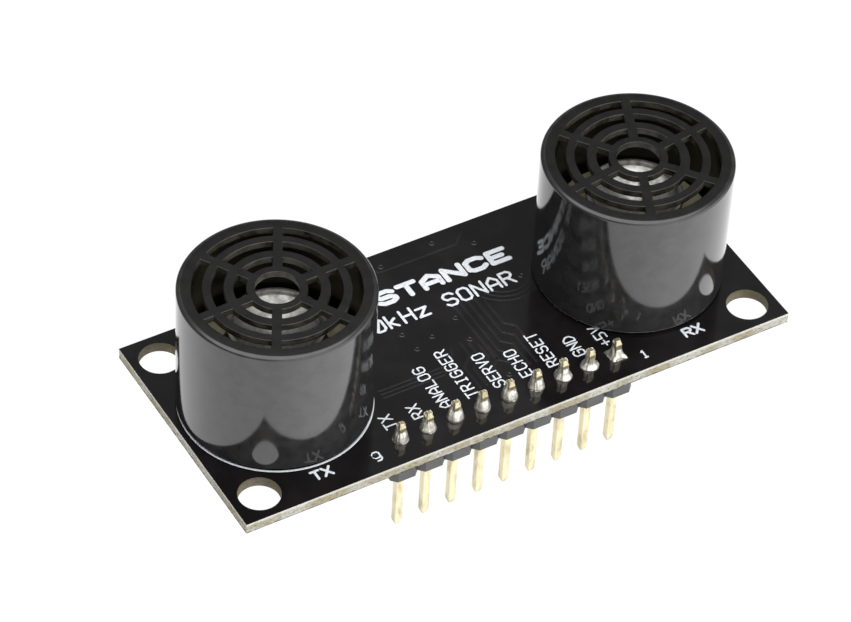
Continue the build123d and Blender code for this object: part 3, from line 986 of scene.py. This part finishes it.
STROKES = {
    "A": "00 04 26 44 40/02 42",
    "C": "41 30 10 01 05 16 36 45",
    "D": "00 06 26 44 42 20 00",
    "E": "40 00 06 46/03 33",
    "G": "45 36 16 05 01 10 30 41 43 23",
    "H": "00 06/40 46/03 43",
    "I": "10 30/20 26/16 36",
    "L": "06 00 40",
    "N": "00 06 40 46",
    "O": "10 30 41 45 36 16 05 01 10",
    "R": "00 06 36 45 44 33 03/23 40",
    "S": "01 10 30 41 42 33 13 04 05 16 36 45",
    "T": "06 46/26 20",
    "V": "06 20 46",
    "X": "00 46/06 40",
    "k": "00 06/34 02/12 30",
    "z": "04 44 00 40",
    "0": "10 30 41 45 36 16 05 01 10/11 35",
    "1": "15 26 20/10 30",
    "4": "30 36 02 42",
    "5": "46 06 03 33 42 41 30 00",
    "9": "43 32 12 03 05 16 36 45 43 41 30 10",
    "+": "03 43/21 25",
    " ": "",
}


@dataclass
class Lettering:
    """One line of stroke lettering."""

    words: str
    start: Point2
    height: float
    advance: float
    glyph_width: float
    reading: Reading = Reading.ALONG_BOARD

    def lines(self) -> list[list[Point2]]:
        """The strokes of every letter, in the board's plane."""
        turn = Matrix.Rotation(math.radians(self.reading.value), 2)
        lines = []
        for index, letter in enumerate(self.words):
            for stroke in filter(None, STROKES[letter].split("/")):
                line = []
                for point in stroke.split():
                    across = index * self.advance + int(point[0]) * self.glyph_width / 4
                    place = turn @ Vector((across, int(point[1]) * self.height / 6))
                    line.append((self.start[0] + place.x, self.start[1] + place.y))
                lines.append(line)
        return lines


@dataclass
class Legend(SubAssembly):
    """The white legend: a title, the pins' functions, end marks and a ring round each can."""

    level: float = 1.0
    rise: float = 0.012
    functions: str = "+5V GND RESET ECHO SERVO TRIGGER ANALOG RX TX"
    title: str = "DISTANCE"
    subtitle: str = "40kHz SONAR"
    ring_radius: float = 7.90
    ring_centres: tuple[Point2, ...] = ((-16.98, -0.03), (16.60, 0.10))

    def build(self, recipe: StrokeRecipe) -> None:
        """Print the legend on the board's mask."""
        self.level = box_mm("circuit_board")[1].z
        title = Lettering(self.title, (-8.3, 5.45), 1.30, 2.15, 1.55)
        self.print(recipe, "legend_title", title.lines(), 0.50)
        subtitle = Lettering(self.subtitle, (-7.3, 2.75), 1.40, 1.37, 0.95)
        self.print(recipe, "legend_subtitle", subtitle.lines(), 0.25)
        names = []
        for pin, words in zip(pin_centres(), self.functions.split()):
            start = (pin.x + 0.50, pin.y + 1.35)
            names += Lettering(words, start, 0.98, 0.86, 0.60, Reading.ACROSS_BOARD).lines()
        self.print(recipe, "legend_pin_names", names, 0.15)
        marks = Lettering("1", (12.05, -9.85), 0.80, 0.8, 0.5).lines()
        marks += Lettering("9", (-13.10, -9.80), 0.96, 0.8, 0.60).lines()
        self.print(recipe, "legend_end_marks", marks, 0.16)
        units = Lettering("TX", (-18.4, -9.30), 0.88, 0.96, 0.70).lines()
        units += Lettering("RX", (16.5, -9.40), 0.88, 0.96, 0.70).lines()
        self.print(recipe, "legend_unit_names", units, 0.23)
        rings = [circle(centre, self.ring_radius, 160) for centre in self.ring_centres]
        self.print(recipe, "legend_rings", [ring + ring[:1] for ring in rings], 0.21)

    def print(self, recipe: StrokeRecipe, name: str, lines: list[list[Point2]], width: float) -> None:
        """Print one part of the legend, with strokes of one width."""
        self.fit(recipe.draw(name, lines, self.level, width, self.rise), INK, "board_mask")


@dataclass
class PinHeader(SubAssembly):
    """The header under the board: notched strip, gold pins and their solder joints."""

    pin_width: float = 0.64
    notch: float = 0.48
    taper: float = 0.42
    tip_width: float = 0.40
    tip_rim: float = 0.04
    edge: float = 0.045
    strip_rounding: float = 0.05
    seed: int = 11
    columns: int = 72
    belly: Point2 = (0.66, 0.72)
    climb: Point2 = (1.60, 1.72)
    bare_bearing: Point2 = (-105, -80)
    fold_bearing: Point2 = (120, 300)
    folds: int = 4
    fold_depth: float = 0.07
    fold_width: float = 0.11
    collar: float = 0.02
    core: float = 0.28
    rows: tuple[float, ...] = (0.0, 0.05, 0.10, 0.17, 0.25, 0.34, 0.44, 0.55, 0.67, 0.80, 0.91, 1.0)
    skirts: tuple[float, ...] = (0.3, 0.95, 0.7, 0.2, 0.0, 0.1, 0.0, 0.3, 0.0)

    def build_strip(self) -> Piece:
        """The strip, one eight-sided cell for each pin, with softened edges."""
        low, high = box_mm("header_housing")
        pitch = (high.x - low.x) / PIN_COUNT
        middle, cut = (low.y + high.y) / 2, self.notch
        near, far = middle - pitch / 2, middle + pitch / 2
        outline = [(low.x, near + cut)]
        for cell in range(1, PIN_COUNT + 1):
            x = low.x + pitch * cell
            outline += [(x - pitch + cut, near), (x - cut, near), (x, near + cut)]
        outline.append((high.x, far - cut))
        for cell in reversed(range(PIN_COUNT)):
            x = low.x + pitch * cell
            outline += [(x + pitch - cut, far), (x + cut, far), (x, far - cut)]
        holes = [square(pin, self.pin_width / 2) for pin in pin_centres()]
        piece = settle("header_strip", plate("strip", [outline, *holes], low.z, high.z))
        round_edges(piece, self.strip_rounding)
        return self.fit(piece, HEADER_BLACK, "header_plastic", "header_housing")

    def build_pins(self) -> Piece:
        """All nine pins: one square pin with tapered ends, set at each place."""
        low, high = box_mm("header_pin_1")
        recipe = GeometryRecipe("pin_row")
        pin = bpy.data.objects.new("pin_pattern", self.pin_mesh(low.z, high.z))
        pattern = recipe.add("GeometryNodeObjectInfo", sockets={"Object": pin})
        spread = {"Points": recipe.start.outputs["Geometry"], "Instance": pattern.outputs["Geometry"]}
        pins = recipe.add("GeometryNodeInstanceOnPoints", sockets=spread)
        # The pins' darkened gold is painted shade from the board above them.
        recipe.finish(pins.outputs[0], PIN_GOLD_SHADED.material())
        places = bpy.data.meshes.new("pin_places")
        places.from_pydata([(centre.x, centre.y, 0) for centre in pin_centres()], [], [])
        piece = recipe.make("header_pins", places)
        bpy.data.objects.remove(pin)
        return self.fit(piece, PIN_GOLD_SHADED, "pin_gold", *numbered("header_pin"))

    def pin_mesh(self, bottom: float, top: float) -> Mesh:
        """One pin: an eight-sided bar, square with eased corners, narrow at both ends."""
        drawn = bmesh.new()
        half, tip, ease = self.pin_width / 2, self.tip_width / 2, self.edge
        rim = self.tip_rim
        levels = [(bottom, tip - rim), (bottom + rim, tip), (bottom + self.taper, half)]
        levels += [(top - self.taper, half), (top - rim, tip), (top, tip - rim)]
        rows = []
        for height, side in levels:
            near = side - ease
            corners = [(side, -near), (side, near), (near, side), (-near, side)]
            corners += [(-x, -y) for x, y in corners]
            rows.append([drawn.verts.new((x, y, height)) for x, y in corners])
        for lower, upper in zip(rows, rows[1:]):
            bridge(drawn, lower, upper)
        drawn.faces.new(rows[0])
        drawn.faces.new(rows[-1])
        bmesh.ops.recalc_face_normals(drawn, faces=drawn.faces)
        mesh = bpy.data.meshes.new("pin_pattern")
        drawn.to_mesh(mesh)
        drawn.free()
        return mesh

    def build_joints(self) -> Piece:
        """The nine joints: solder that bellies on its pad and climbs the pin."""
        draw = random.Random(self.seed)
        drawn = bmesh.new()
        pins = pin_centres()
        for pin, skirt in zip(pins, self.skirts):
            self.draw_joint(drawn, pin, draw, skirt, pin is pins[0])
        piece = settle_bmesh("solder_joints", drawn)
        return self.fit(piece, SOLDER, "solder", *numbered("solder_joint"))

    def draw_joint(
        self, drawn: Drawing, pin: Vector, draw: random.Random, skirt: float, starred: bool
    ) -> None:
        """Draw one joint.

        Args:
            drawn: the bmesh to draw in.
            pin: the pin's centre.
            draw: where the joint's own small differences come from.
            skirt: how far its foot spreads into a skirt, from 0 to 1.
            starred: whether the joint is the spiky one on the square pad.
        """
        base = box_mm("circuit_board")[1].z
        belly = draw.uniform(*self.belly)
        climb = draw.uniform(*self.climb)
        bare = math.radians(draw.uniform(*self.bare_bearing))
        wave = draw.uniform(0, math.tau)
        folds = [math.radians(draw.uniform(*self.fold_bearing)) for _ in range(self.folds)]
        rows = []
        for share in self.rows:
            row = []
            swell = self.bulb(share) * (1 - skirt) + self.flare(share) * skirt
            hug = max(0.0, min(1.0, (share - 0.5) / 0.4))
            for step in range(self.columns):
                turn = math.tau * step / self.columns
                along, across = math.cos(turn), math.sin(turn)
                side = (self.pin_width / 2 + self.collar) / max(abs(along), abs(across))
                radius = belly * swell * (1 - hug) + min(side, 0.41) * hug
                slack = (1 - hug) * (1 - 0.5 * share)
                radius *= 1 + 0.03 * math.sin(2 * turn + wave) * slack
                spot = Vector((pin.x + 2 * along, 2 * across, 2 * share))
                radius += 0.045 * noise.noise(spot) * slack
                for fold in folds:
                    apart = (turn - fold + math.pi) % math.tau - math.pi
                    depth = self.fold_depth * math.exp(-((apart / self.fold_width) ** 2))
                    radius -= depth * math.sin(math.pi * min(1, share + 0.1))
                if starred:
                    spike = abs(math.cos(2 * turn - math.pi / 2)) ** 5
                    radius *= 0.90 + 0.52 * spike * max(0.0, 1 - 2.2 * share) ** 1.6
                front = max(0.0, math.cos(turn - bare)) ** 0.7
                height = base + climb * share * (1 - 0.40 * front * share)
                place = (pin.x + radius * along, pin.y + radius * across, height)
                row.append(drawn.verts.new(place))
            rows.append(row)
        core = circle((pin.x, pin.y), self.core, self.columns)
        rows.append([drawn.verts.new((x, y, base + climb * 0.5)) for x, y in core])
        rows.append([drawn.verts.new((x, y, base)) for x, y in core])
        for lower, upper in zip(rows, rows[1:] + rows[:1]):
            bridge(drawn, lower, upper)

    @staticmethod
    def bulb(share: float) -> float:
        """Width of a rounded joint at a share of its height."""
        foot = 0.02 * math.sin(math.pi * min(1.0, share * 5))
        return 0.98 + foot - 0.50 * max(0.0, share - 0.12) ** 0.95

    @staticmethod
    def flare(share: float) -> float:
        """Width of a skirted joint at a share of its height."""
        return 0.62 + 0.50 * math.exp(-((share / 0.20) ** 2)) - 0.12 * share

    def build(self) -> None:
        """Build the header's pieces."""
        self.build_strip()
        self.build_pins()
        self.build_joints()


@dataclass
class Transducer(SubAssembly):
    """One round can: glossy wall, slotted grille and the parts behind the grille."""

    unit: Unit = Unit.TRANSMITTER
    grille_turn: float = 0.0
    wall: float = 0.8
    edge_reach: float = 0.45
    edge_drop: float = 0.25
    grille_thickness: float = 0.6
    hole_radius: float = 1.80
    slots: Stops = ((2.45, 3.44), (4.23, 5.22), (5.93, 6.80))
    spokes: int = 6
    spoke_width: float = 0.80
    between: int = 26
    rounding: float = 0.045
    rounded_angle: float = 50.0
    dish_radius: float = 3.40

    def __post_init__(self) -> None:
        """Read the can's place and size from the frame."""
        self.low, self.high = box_mm(f"{self.unit.value}_housing")
        self.centre = (self.low + self.high) / 2
        self.radius = (self.high.x - self.low.x) / 2

    def turns(self, radius: float) -> list[float]:
        """Angles of the columns at one radius: both sides of each spoke and steps between."""
        half = math.asin(self.spoke_width / 2 / radius)
        pitch = math.tau / self.spokes
        found = []
        for spoke in range(self.spokes):
            middle = math.radians(self.grille_turn) + spoke * pitch
            found += [middle - half, middle, middle + half]
            span = pitch - 2 * half
            found += [middle + half + span * step / self.between for step in range(1, self.between)]
        return found

    def profile(self) -> list[tuple[float, float, bool]]:
        """Closed section from the centre hole outwards, down, in and back: radius, height, slot row."""
        top = self.high.z
        ceiling = top - self.grille_thickness
        flat = [self.hole_radius]
        for inner, outer in self.slots:
            flat += [inner, outer]
        section = [(radius, top, index % 2 == 1) for index, radius in enumerate(flat)]
        for step in range(11):
            turn = math.radians(90 - 9 * step)
            reach = self.edge_reach * (1 - math.cos(turn))
            section.append((self.radius - reach, top - self.edge_drop * (1 - math.sin(turn)), False))
        rests = (top - self.edge_drop - 0.04, top - 3.5, top - 7.0, self.low.z + 0.10, self.low.z + 0.06)
        section += [(self.radius, height, False) for height in rests]
        section += [(self.radius - 0.06, self.low.z, False), (self.radius - self.wall, self.low.z, False)]
        section.append((self.radius - self.wall, ceiling, False))
        for index, radius in reversed(list(enumerate(flat))):
            section.append((radius, ceiling, index % 2 == 0 and index > 0))
        return section

    def build_housing(self) -> Piece:
        """The can itself, one closed shell with its slots cut through the grille."""
        drawn = bmesh.new()
        section = self.profile()
        columns = len(self.turns(self.radius))
        grid = []
        for radius, height, _ in section:
            ring = []
            for turn in self.turns(radius):
                x = self.centre.x + radius * math.cos(turn)
                ring.append(drawn.verts.new((x, self.centre.y + radius * math.sin(turn), height)))
            grid.append(ring)
        per_spoke = columns // self.spokes
        for lower, upper, (_, _, slotted) in zip(grid, grid[1:] + grid[:1], section):
            for column in range(columns):
                after = (column + 1) % columns
                if slotted and column % per_spoke >= 2:
                    continue
                drawn.faces.new((lower[column], lower[after], upper[after], upper[column]))
        self.draw_slot_walls(drawn, grid, per_spoke)
        piece = settle_bmesh(f"{self.unit.value}_can", drawn)
        round_edges(piece, self.rounding, self.rounded_angle)
        self.split_finish(piece)
        return self.fit(piece, None, "can_plastic", f"{self.unit.value}_housing")

    def draw_slot_walls(self, drawn: Drawing, grid: list[list[Any]], per_spoke: int) -> None:
        """Draw the four walls of every slot between the grille's two faces.

        Args:
            drawn: the bmesh to draw in.
            grid: the can's rows of points.
            per_spoke: columns from one spoke to the next.
        """
        columns = len(grid[0])
        last = len(grid) - 1
        for index in range(len(self.slots)):
            outer, inner = 2 * index + 2, 2 * index + 1
            for column in range(columns):
                if column % per_spoke < 2:
                    continue
                after = (column + 1) % columns
                for row in (inner, outer):
                    top, under = grid[row], grid[last - row]
                    drawn.faces.new((top[column], top[after], under[after], under[column]))
            for column in range(columns):
                if column % per_spoke in (0, 2):
                    tops = (grid[inner][column], grid[outer][column])
                    unders = (grid[last - outer][column], grid[last - inner][column])
                    drawn.faces.new((*tops, *unders))

    def split_finish(self, piece: Piece) -> None:
        """Glossy wall outside, satin grille on top and inside, and slot walls painted a lighter mottled
        olive as highlights.
        """
        paint(piece, CAN_WALL, CAN_GRILLE, CAN_SLOT_HIGHLIGHT)
        ceiling = self.high.z - self.grille_thickness
        for face in piece.data.polygons:
            reach = (face.center / MM - self.centre).xy.length
            outside = reach > self.radius - self.edge_reach and face.normal.z < 0.995
            # Slot walls take the lighter finish, which is painted highlights.
            in_slot = abs(face.normal.z) < 0.5 and face.center.z / MM > ceiling
            face.material_index = 0 if outside else 2 if in_slot else 1

    def build_cone(self) -> Piece:
        """The spun aluminium dish with its rolled rim, finer than its CAD solid."""
        low, high = box_mm(f"{self.unit.value}_resonator_cone")
        centre = ((low.x + high.x) / 2, (low.y + high.y) / 2)
        rim = (high.x - low.x) / 2
        drawn = bmesh.new()
        dish = [(3.45 * t, 1.05 * t**1.35 - 1.30) for t in (0.0, 0.1, 0.3, 0.5, 0.7, 0.85, 1.0)]
        lip = [(3.56, -0.10), (3.70, -0.02), (rim - 0.15, 0.0), (rim - 0.04, -0.04), (rim, -0.16)]
        back = [(rim - 0.1, -0.30), (3.5, -0.55), (1.1, -1.55)]
        profile = [(radius, high.z + drop) for radius, drop in dish + lip + back]
        profile += [(0.95, low.z + 0.7), (1.1, low.z + 0.4), (1.1, low.z), (0.0, low.z)]
        lathe(drawn, profile, centre)
        piece = settle_bmesh(f"{self.unit.value}_cone", drawn)
        paint(piece, CONE_ALUMINIUM, CONE_LIP)
        for face in piece.data.polygons:
            spot = face.center / MM
            face.material_index = 1 if math.dist(spot.xy, centre) > self.dish_radius else 0
        return self.fit(piece, None, "cone_aluminium", f"{self.unit.value}_resonator_cone")

    def build(self) -> None:
        """Build the can and dress what is inside it."""
        self.build_housing()
        self.build_cone()
        finishes = {
            "base": BASE_RESIN,
            "silicone_ring": SILICONE,
            "vibrator_plate": PLATE_BRASS,
            "piezo_disc": PIEZO_SILVER,
            "terminals": LEAD_TIN,
            "lead_wires": WIRE_COPPER,
            "terminal_solder": SOLDER,
        }
        self.dress(f"{self.unit.value}_", finishes)


class EndCapRecipe:
    """Geometry Nodes that put a tinned cap on each end of a chip resistor or capacitor."""

    def __init__(self) -> None:
        """Build the tree: a block on each point, as large as the point's own size."""
        recipe = GeometryRecipe("end_caps")
        scale = recipe.number("Scale", 1.0)
        block = recipe.add("GeometryNodeMeshCube", sockets={"Size": (1.0, 1.0, 1.0)})
        vectors = {"data_type": "FLOAT_VECTOR"}
        own = recipe.add("GeometryNodeInputNamedAttribute", vectors, {"Name": "size"})
        sockets = {0: own.outputs[0], "Scale": scale}
        size = recipe.add("ShaderNodeVectorMath", {"operation": "SCALE"}, sockets)
        spread = {"Instance": block.outputs["Mesh"], "Scale": size.outputs[0]}
        spread["Points"] = recipe.start.outputs["Geometry"]
        caps = recipe.add("GeometryNodeInstanceOnPoints", sockets=spread)
        recipe.finish(caps.outputs[0], LEAD_TIN.material())
        self.recipe = recipe

    @staticmethod
    def chips(node: str) -> list[tuple[Vector, Vector]]:
        """Find the box of each separate chip in a node.

        Args:
            node: the CAD node.

        Returns:
            Each chip's lowest and highest corner, in millimetres.
        """
        merged = merged_copy(node)
        boxes, left = [], set(merged.verts)
        while left:
            reached, edge = set(), {min(left, key=lambda vertex: vertex.index)}
            while edge:
                reached |= edge
                beside = {link.other_vert(vertex) for vertex in edge for link in vertex.link_edges}
                edge = beside - reached
            left -= reached
            spans = list(zip(*(vertex.co for vertex in reached)))
            boxes.append((Vector([min(span) for span in spans]), Vector([max(span) for span in spans])))
        merged.free()
        return boxes

    def draw(self, name: str, node: str, share: float, proud: float, rounding: float) -> Piece:
        """Make the caps of every chip in a node.

        Args:
            name: the piece's name.
            node: the CAD node that holds the chips.
            share: the part of a chip's length that one cap covers.
            proud: how far a cap stands out of the chip.
            rounding: how far its edges are rounded.

        Returns:
            The piece.
        """
        places, sizes = [], []
        for low, high in self.chips(node):
            span = high - low
            long = 0 if span.x > span.y else 1
            for side in (-1, 1):
                place = (low + high) / 2
                place[long] += side * (span[long] * (1 - share) / 2 + proud / 2)
                place.z -= proud / 2
                size = span + Vector((2 * proud, 2 * proud, proud))
                size[long] = span[long] * share + proud
                places.append(place)
                sizes.extend(size)
        start = bpy.data.meshes.new(name)
        start.from_pydata(places, [], [])
        start.attributes.new("size", "FLOAT_VECTOR", "POINT").data.foreach_set("vector", sizes)
        piece = self.recipe.make(name, start, Scale=1.0)
        round_edges(piece, rounding)
        return piece


@dataclass
class Underside(SubAssembly):
    """The chips and small parts under the board."""

    cap_share: float = 0.22
    cap_proud: float = 0.03
    cap_rounding: float = 0.045
    def build(self) -> None:
        """Dress every part under the board and cap the chips' ends."""
        for chip in ("microcontroller", "serial_transceiver", "amplifier", "temperature_sensor"):
            self.dress(chip, {"_body": CHIP_EPOXY, "_leads": LEAD_TIN})
        self.dress("transistor", {"_bodies": CHIP_EPOXY, "_leads": LEAD_TIN})
        self.dress("chip", {"_resistors": RESISTOR_GLAZE, "_capacitors": CAPACITOR_CERAMIC})
        single = {"crystal": CAN_STEEL, "status_led": LED_CLEAR, "tantalum_capacitors": TANTALUM_OCHRE}
        self.dress("", single)
        caps = EndCapRecipe()
        for kind in ("chip_resistor", "chip_capacitor"):
            sizes = (self.cap_share, self.cap_proud, self.cap_rounding)
            piece = caps.draw(kind + "_ends", kind + "s", *sizes)
            self.fit(piece, None, "lead_tin")


@dataclass
class ModeSwitch(SubAssembly):
    """The small push switch under the board, with its button."""

    dome_keep: float = 0.72

    def build_dome(self) -> None:
        """The snap dome, a copy of its CAD shape with a mesh of its own; the real dome flattens under the
        button towards the floor of its well.
        """
        node = "mode_switch_dome"
        dome = settle_bmesh("snap_dome", merged_copy(node))
        self.fit(dome, LEAD_TIN, "switch_metal", node)
        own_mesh(dome)

    def build(self) -> None:
        """Dress the switch's pieces."""
        self.build_dome()
        finishes = {"base": SWITCH_BLACK, "terminals": LEAD_TIN, "cover": CAN_STEEL, "button": BUTTON_BLACK}
        self.dress("mode_switch_", finishes)


@dataclass
class Studio:
    """A bright pale table, soft light from above and the camera."""

    azimuth: float = -32.274
    elevation: float = 44.536
    roll: float = 3.295
    distance: float = 351.214
    target: Point3 = (-1.11, 3.20, 1.0)
    lens: float = 180.014
    table_drop: float = 0.4
    room_strength: float = 4.0
    sky_stops: Stops = ((0.0, 0.02), (0.60, 0.025), (0.80, 0.10), (0.87, 0.80), (1.0, 0.85))
    key_bearing: float = 0.66
    key_height: float = 0.45
    key_light: float = 0.9
    key_focus: Point2 = (4.5, 3.0)
    horizon_blur: float = 0.03
    table_glow: float = 1.03
    table_radius: float = 4000.0
    glow_stops: Stops = (
        (0.0, 0.30),
        (0.12, 0.33),
        (0.22, 0.42),
        (0.35, 0.46),
        (0.50, 0.53),
        (0.63, 0.64),
        (0.78, 0.52),
        (1.0, 0.30),
    )

    def build_table(self) -> None:
        """The pale table top that the sensor stands on."""
        black, white = (0.0, 0.0, 0.0, 1), (1.0, 1.0, 1.0, 1)
        glow = {"Emission_Color": white, "Emission_Strength": self.table_glow}
        tree = ShaderTree("table_top", Roughness=0.9, Specular_IOR_Level=0.0, Base_Color=black, **glow)
        drawn = bmesh.new()
        bmesh.ops.create_circle(drawn, cap_ends=True, radius=self.table_radius, segments=64)
        table = settle_bmesh("table_top", drawn, smooth=False)
        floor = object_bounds()[0].z - self.table_drop * MM
        table.data.transform(Matrix.Translation((0, 0, floor)))
        table.data.materials.append(tree.material)
        table.visible_diffuse = False
        table.visible_glossy = False
        table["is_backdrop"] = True

    def build_world(self) -> None:
        """The light: a dim room with a bright ceiling, and a glow from the table all round."""
        world = bpy.data.worlds.new("studio")
        bpy.context.scene.world = world
        world.use_nodes = True
        builder = NodeBuilder(world.node_tree)
        background = world.node_tree.nodes["Background"]
        direction = builder.add("ShaderNodeTexCoord").outputs["Generated"]
        split = builder.add("ShaderNodeSeparateXYZ", sockets={0: direction})
        east, north, height = (Value(builder, split.outputs[letter]) for letter in "XYZ")
        turn = math.radians(self.azimuth)
        ahead = east * math.sin(turn) - north * math.cos(turn)
        aside = east * math.cos(turn) + north * math.sin(turn)
        bearing = aside.maths("ARCTAN2", aside, ahead) / math.tau + 0.5
        glow = self.ramp(builder, bearing, self.glow_stops)
        sky = Value(builder, self.ramp(builder, height, self.sky_stops))
        beside = (bearing - self.key_bearing) * self.key_focus[0]
        above = (height - self.key_height) * self.key_focus[1]
        apart = beside**2 + above**2
        sky = (sky + self.key_light * (1 - apart.step(0.1, 1.0))).socket
        sockets = {0: height.step(-self.horizon_blur, self.horizon_blur), 6: glow, 7: sky}
        room = builder.add("ShaderNodeMix", {"data_type": "RGBA"}, sockets).outputs[2]
        seen = builder.add("ShaderNodeLightPath").outputs["Is Camera Ray"]
        white = 1 / self.room_strength
        sockets = {0: seen, 6: room, 7: (white, white, white, 1.0)}
        colour = builder.add("ShaderNodeMix", {"data_type": "RGBA"}, sockets).outputs[2]
        builder.feed(background.inputs["Color"], colour)
        background.inputs["Strength"].default_value = self.room_strength

    @staticmethod
    def ramp(builder: NodeBuilder, where: Value, stops: Stops) -> Socket:
        """A grey ramp over a value."""
        greys = [(position, (grey, grey, grey)) for position, grey in stops]
        return builder.add("ShaderNodeValToRGB", {"stops": greys}, {0: where}).outputs[0]

    def build_camera(self) -> None:
        """The camera, turned slightly about its own line of sight."""
        turn, lift = math.radians(self.azimuth), math.radians(self.elevation)
        back = Vector((math.sin(turn) * math.cos(lift), -math.cos(turn) * math.cos(lift), math.sin(lift)))
        right = Vector((math.cos(turn), math.sin(turn), 0))
        up = back.cross(right)
        rolled = Matrix.Rotation(math.radians(self.roll), 3, back)
        right, up = rolled @ right, rolled @ up
        data = bpy.data.cameras.new("camera")
        data.lens = self.lens
        data.sensor_width = 36.0
        data.clip_start = 0.01
        data.clip_end = 20.0
        camera = bpy.data.objects.new("camera", data)
        bpy.context.scene.collection.objects.link(camera)
        facing = Matrix((right, up, back)).transposed().to_4x4()
        place = Vector(self.target) + back * self.distance
        camera.matrix_world = Matrix.Translation(place * MM) @ facing
        bpy.context.scene.camera = camera

    def build(self) -> None:
        """Set the stage."""
        self.build_table()
        self.build_world()
        self.build_camera()
        bpy.context.scene.view_settings.view_transform = "Standard"


def main() -> None:
    """Load the frame, build every sub-assembly and set the stage."""
    logging.basicConfig(level=logging.INFO, format="%(name)s %(message)s")
    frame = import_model()
    NODES.update(frame["nodes"])
    recipe = StrokeRecipe()
    CircuitBoard().build(recipe)
    Legend().build(recipe)
    PinHeader().build()
    Transducer(unit=Unit.TRANSMITTER, grille_turn=1.0).build()
    Transducer(unit=Unit.RECEIVER, grille_turn=7.0).build()
    Underside().build()
    ModeSwitch().build()
    Studio().build()


if __name__ == "__main__":
    main()
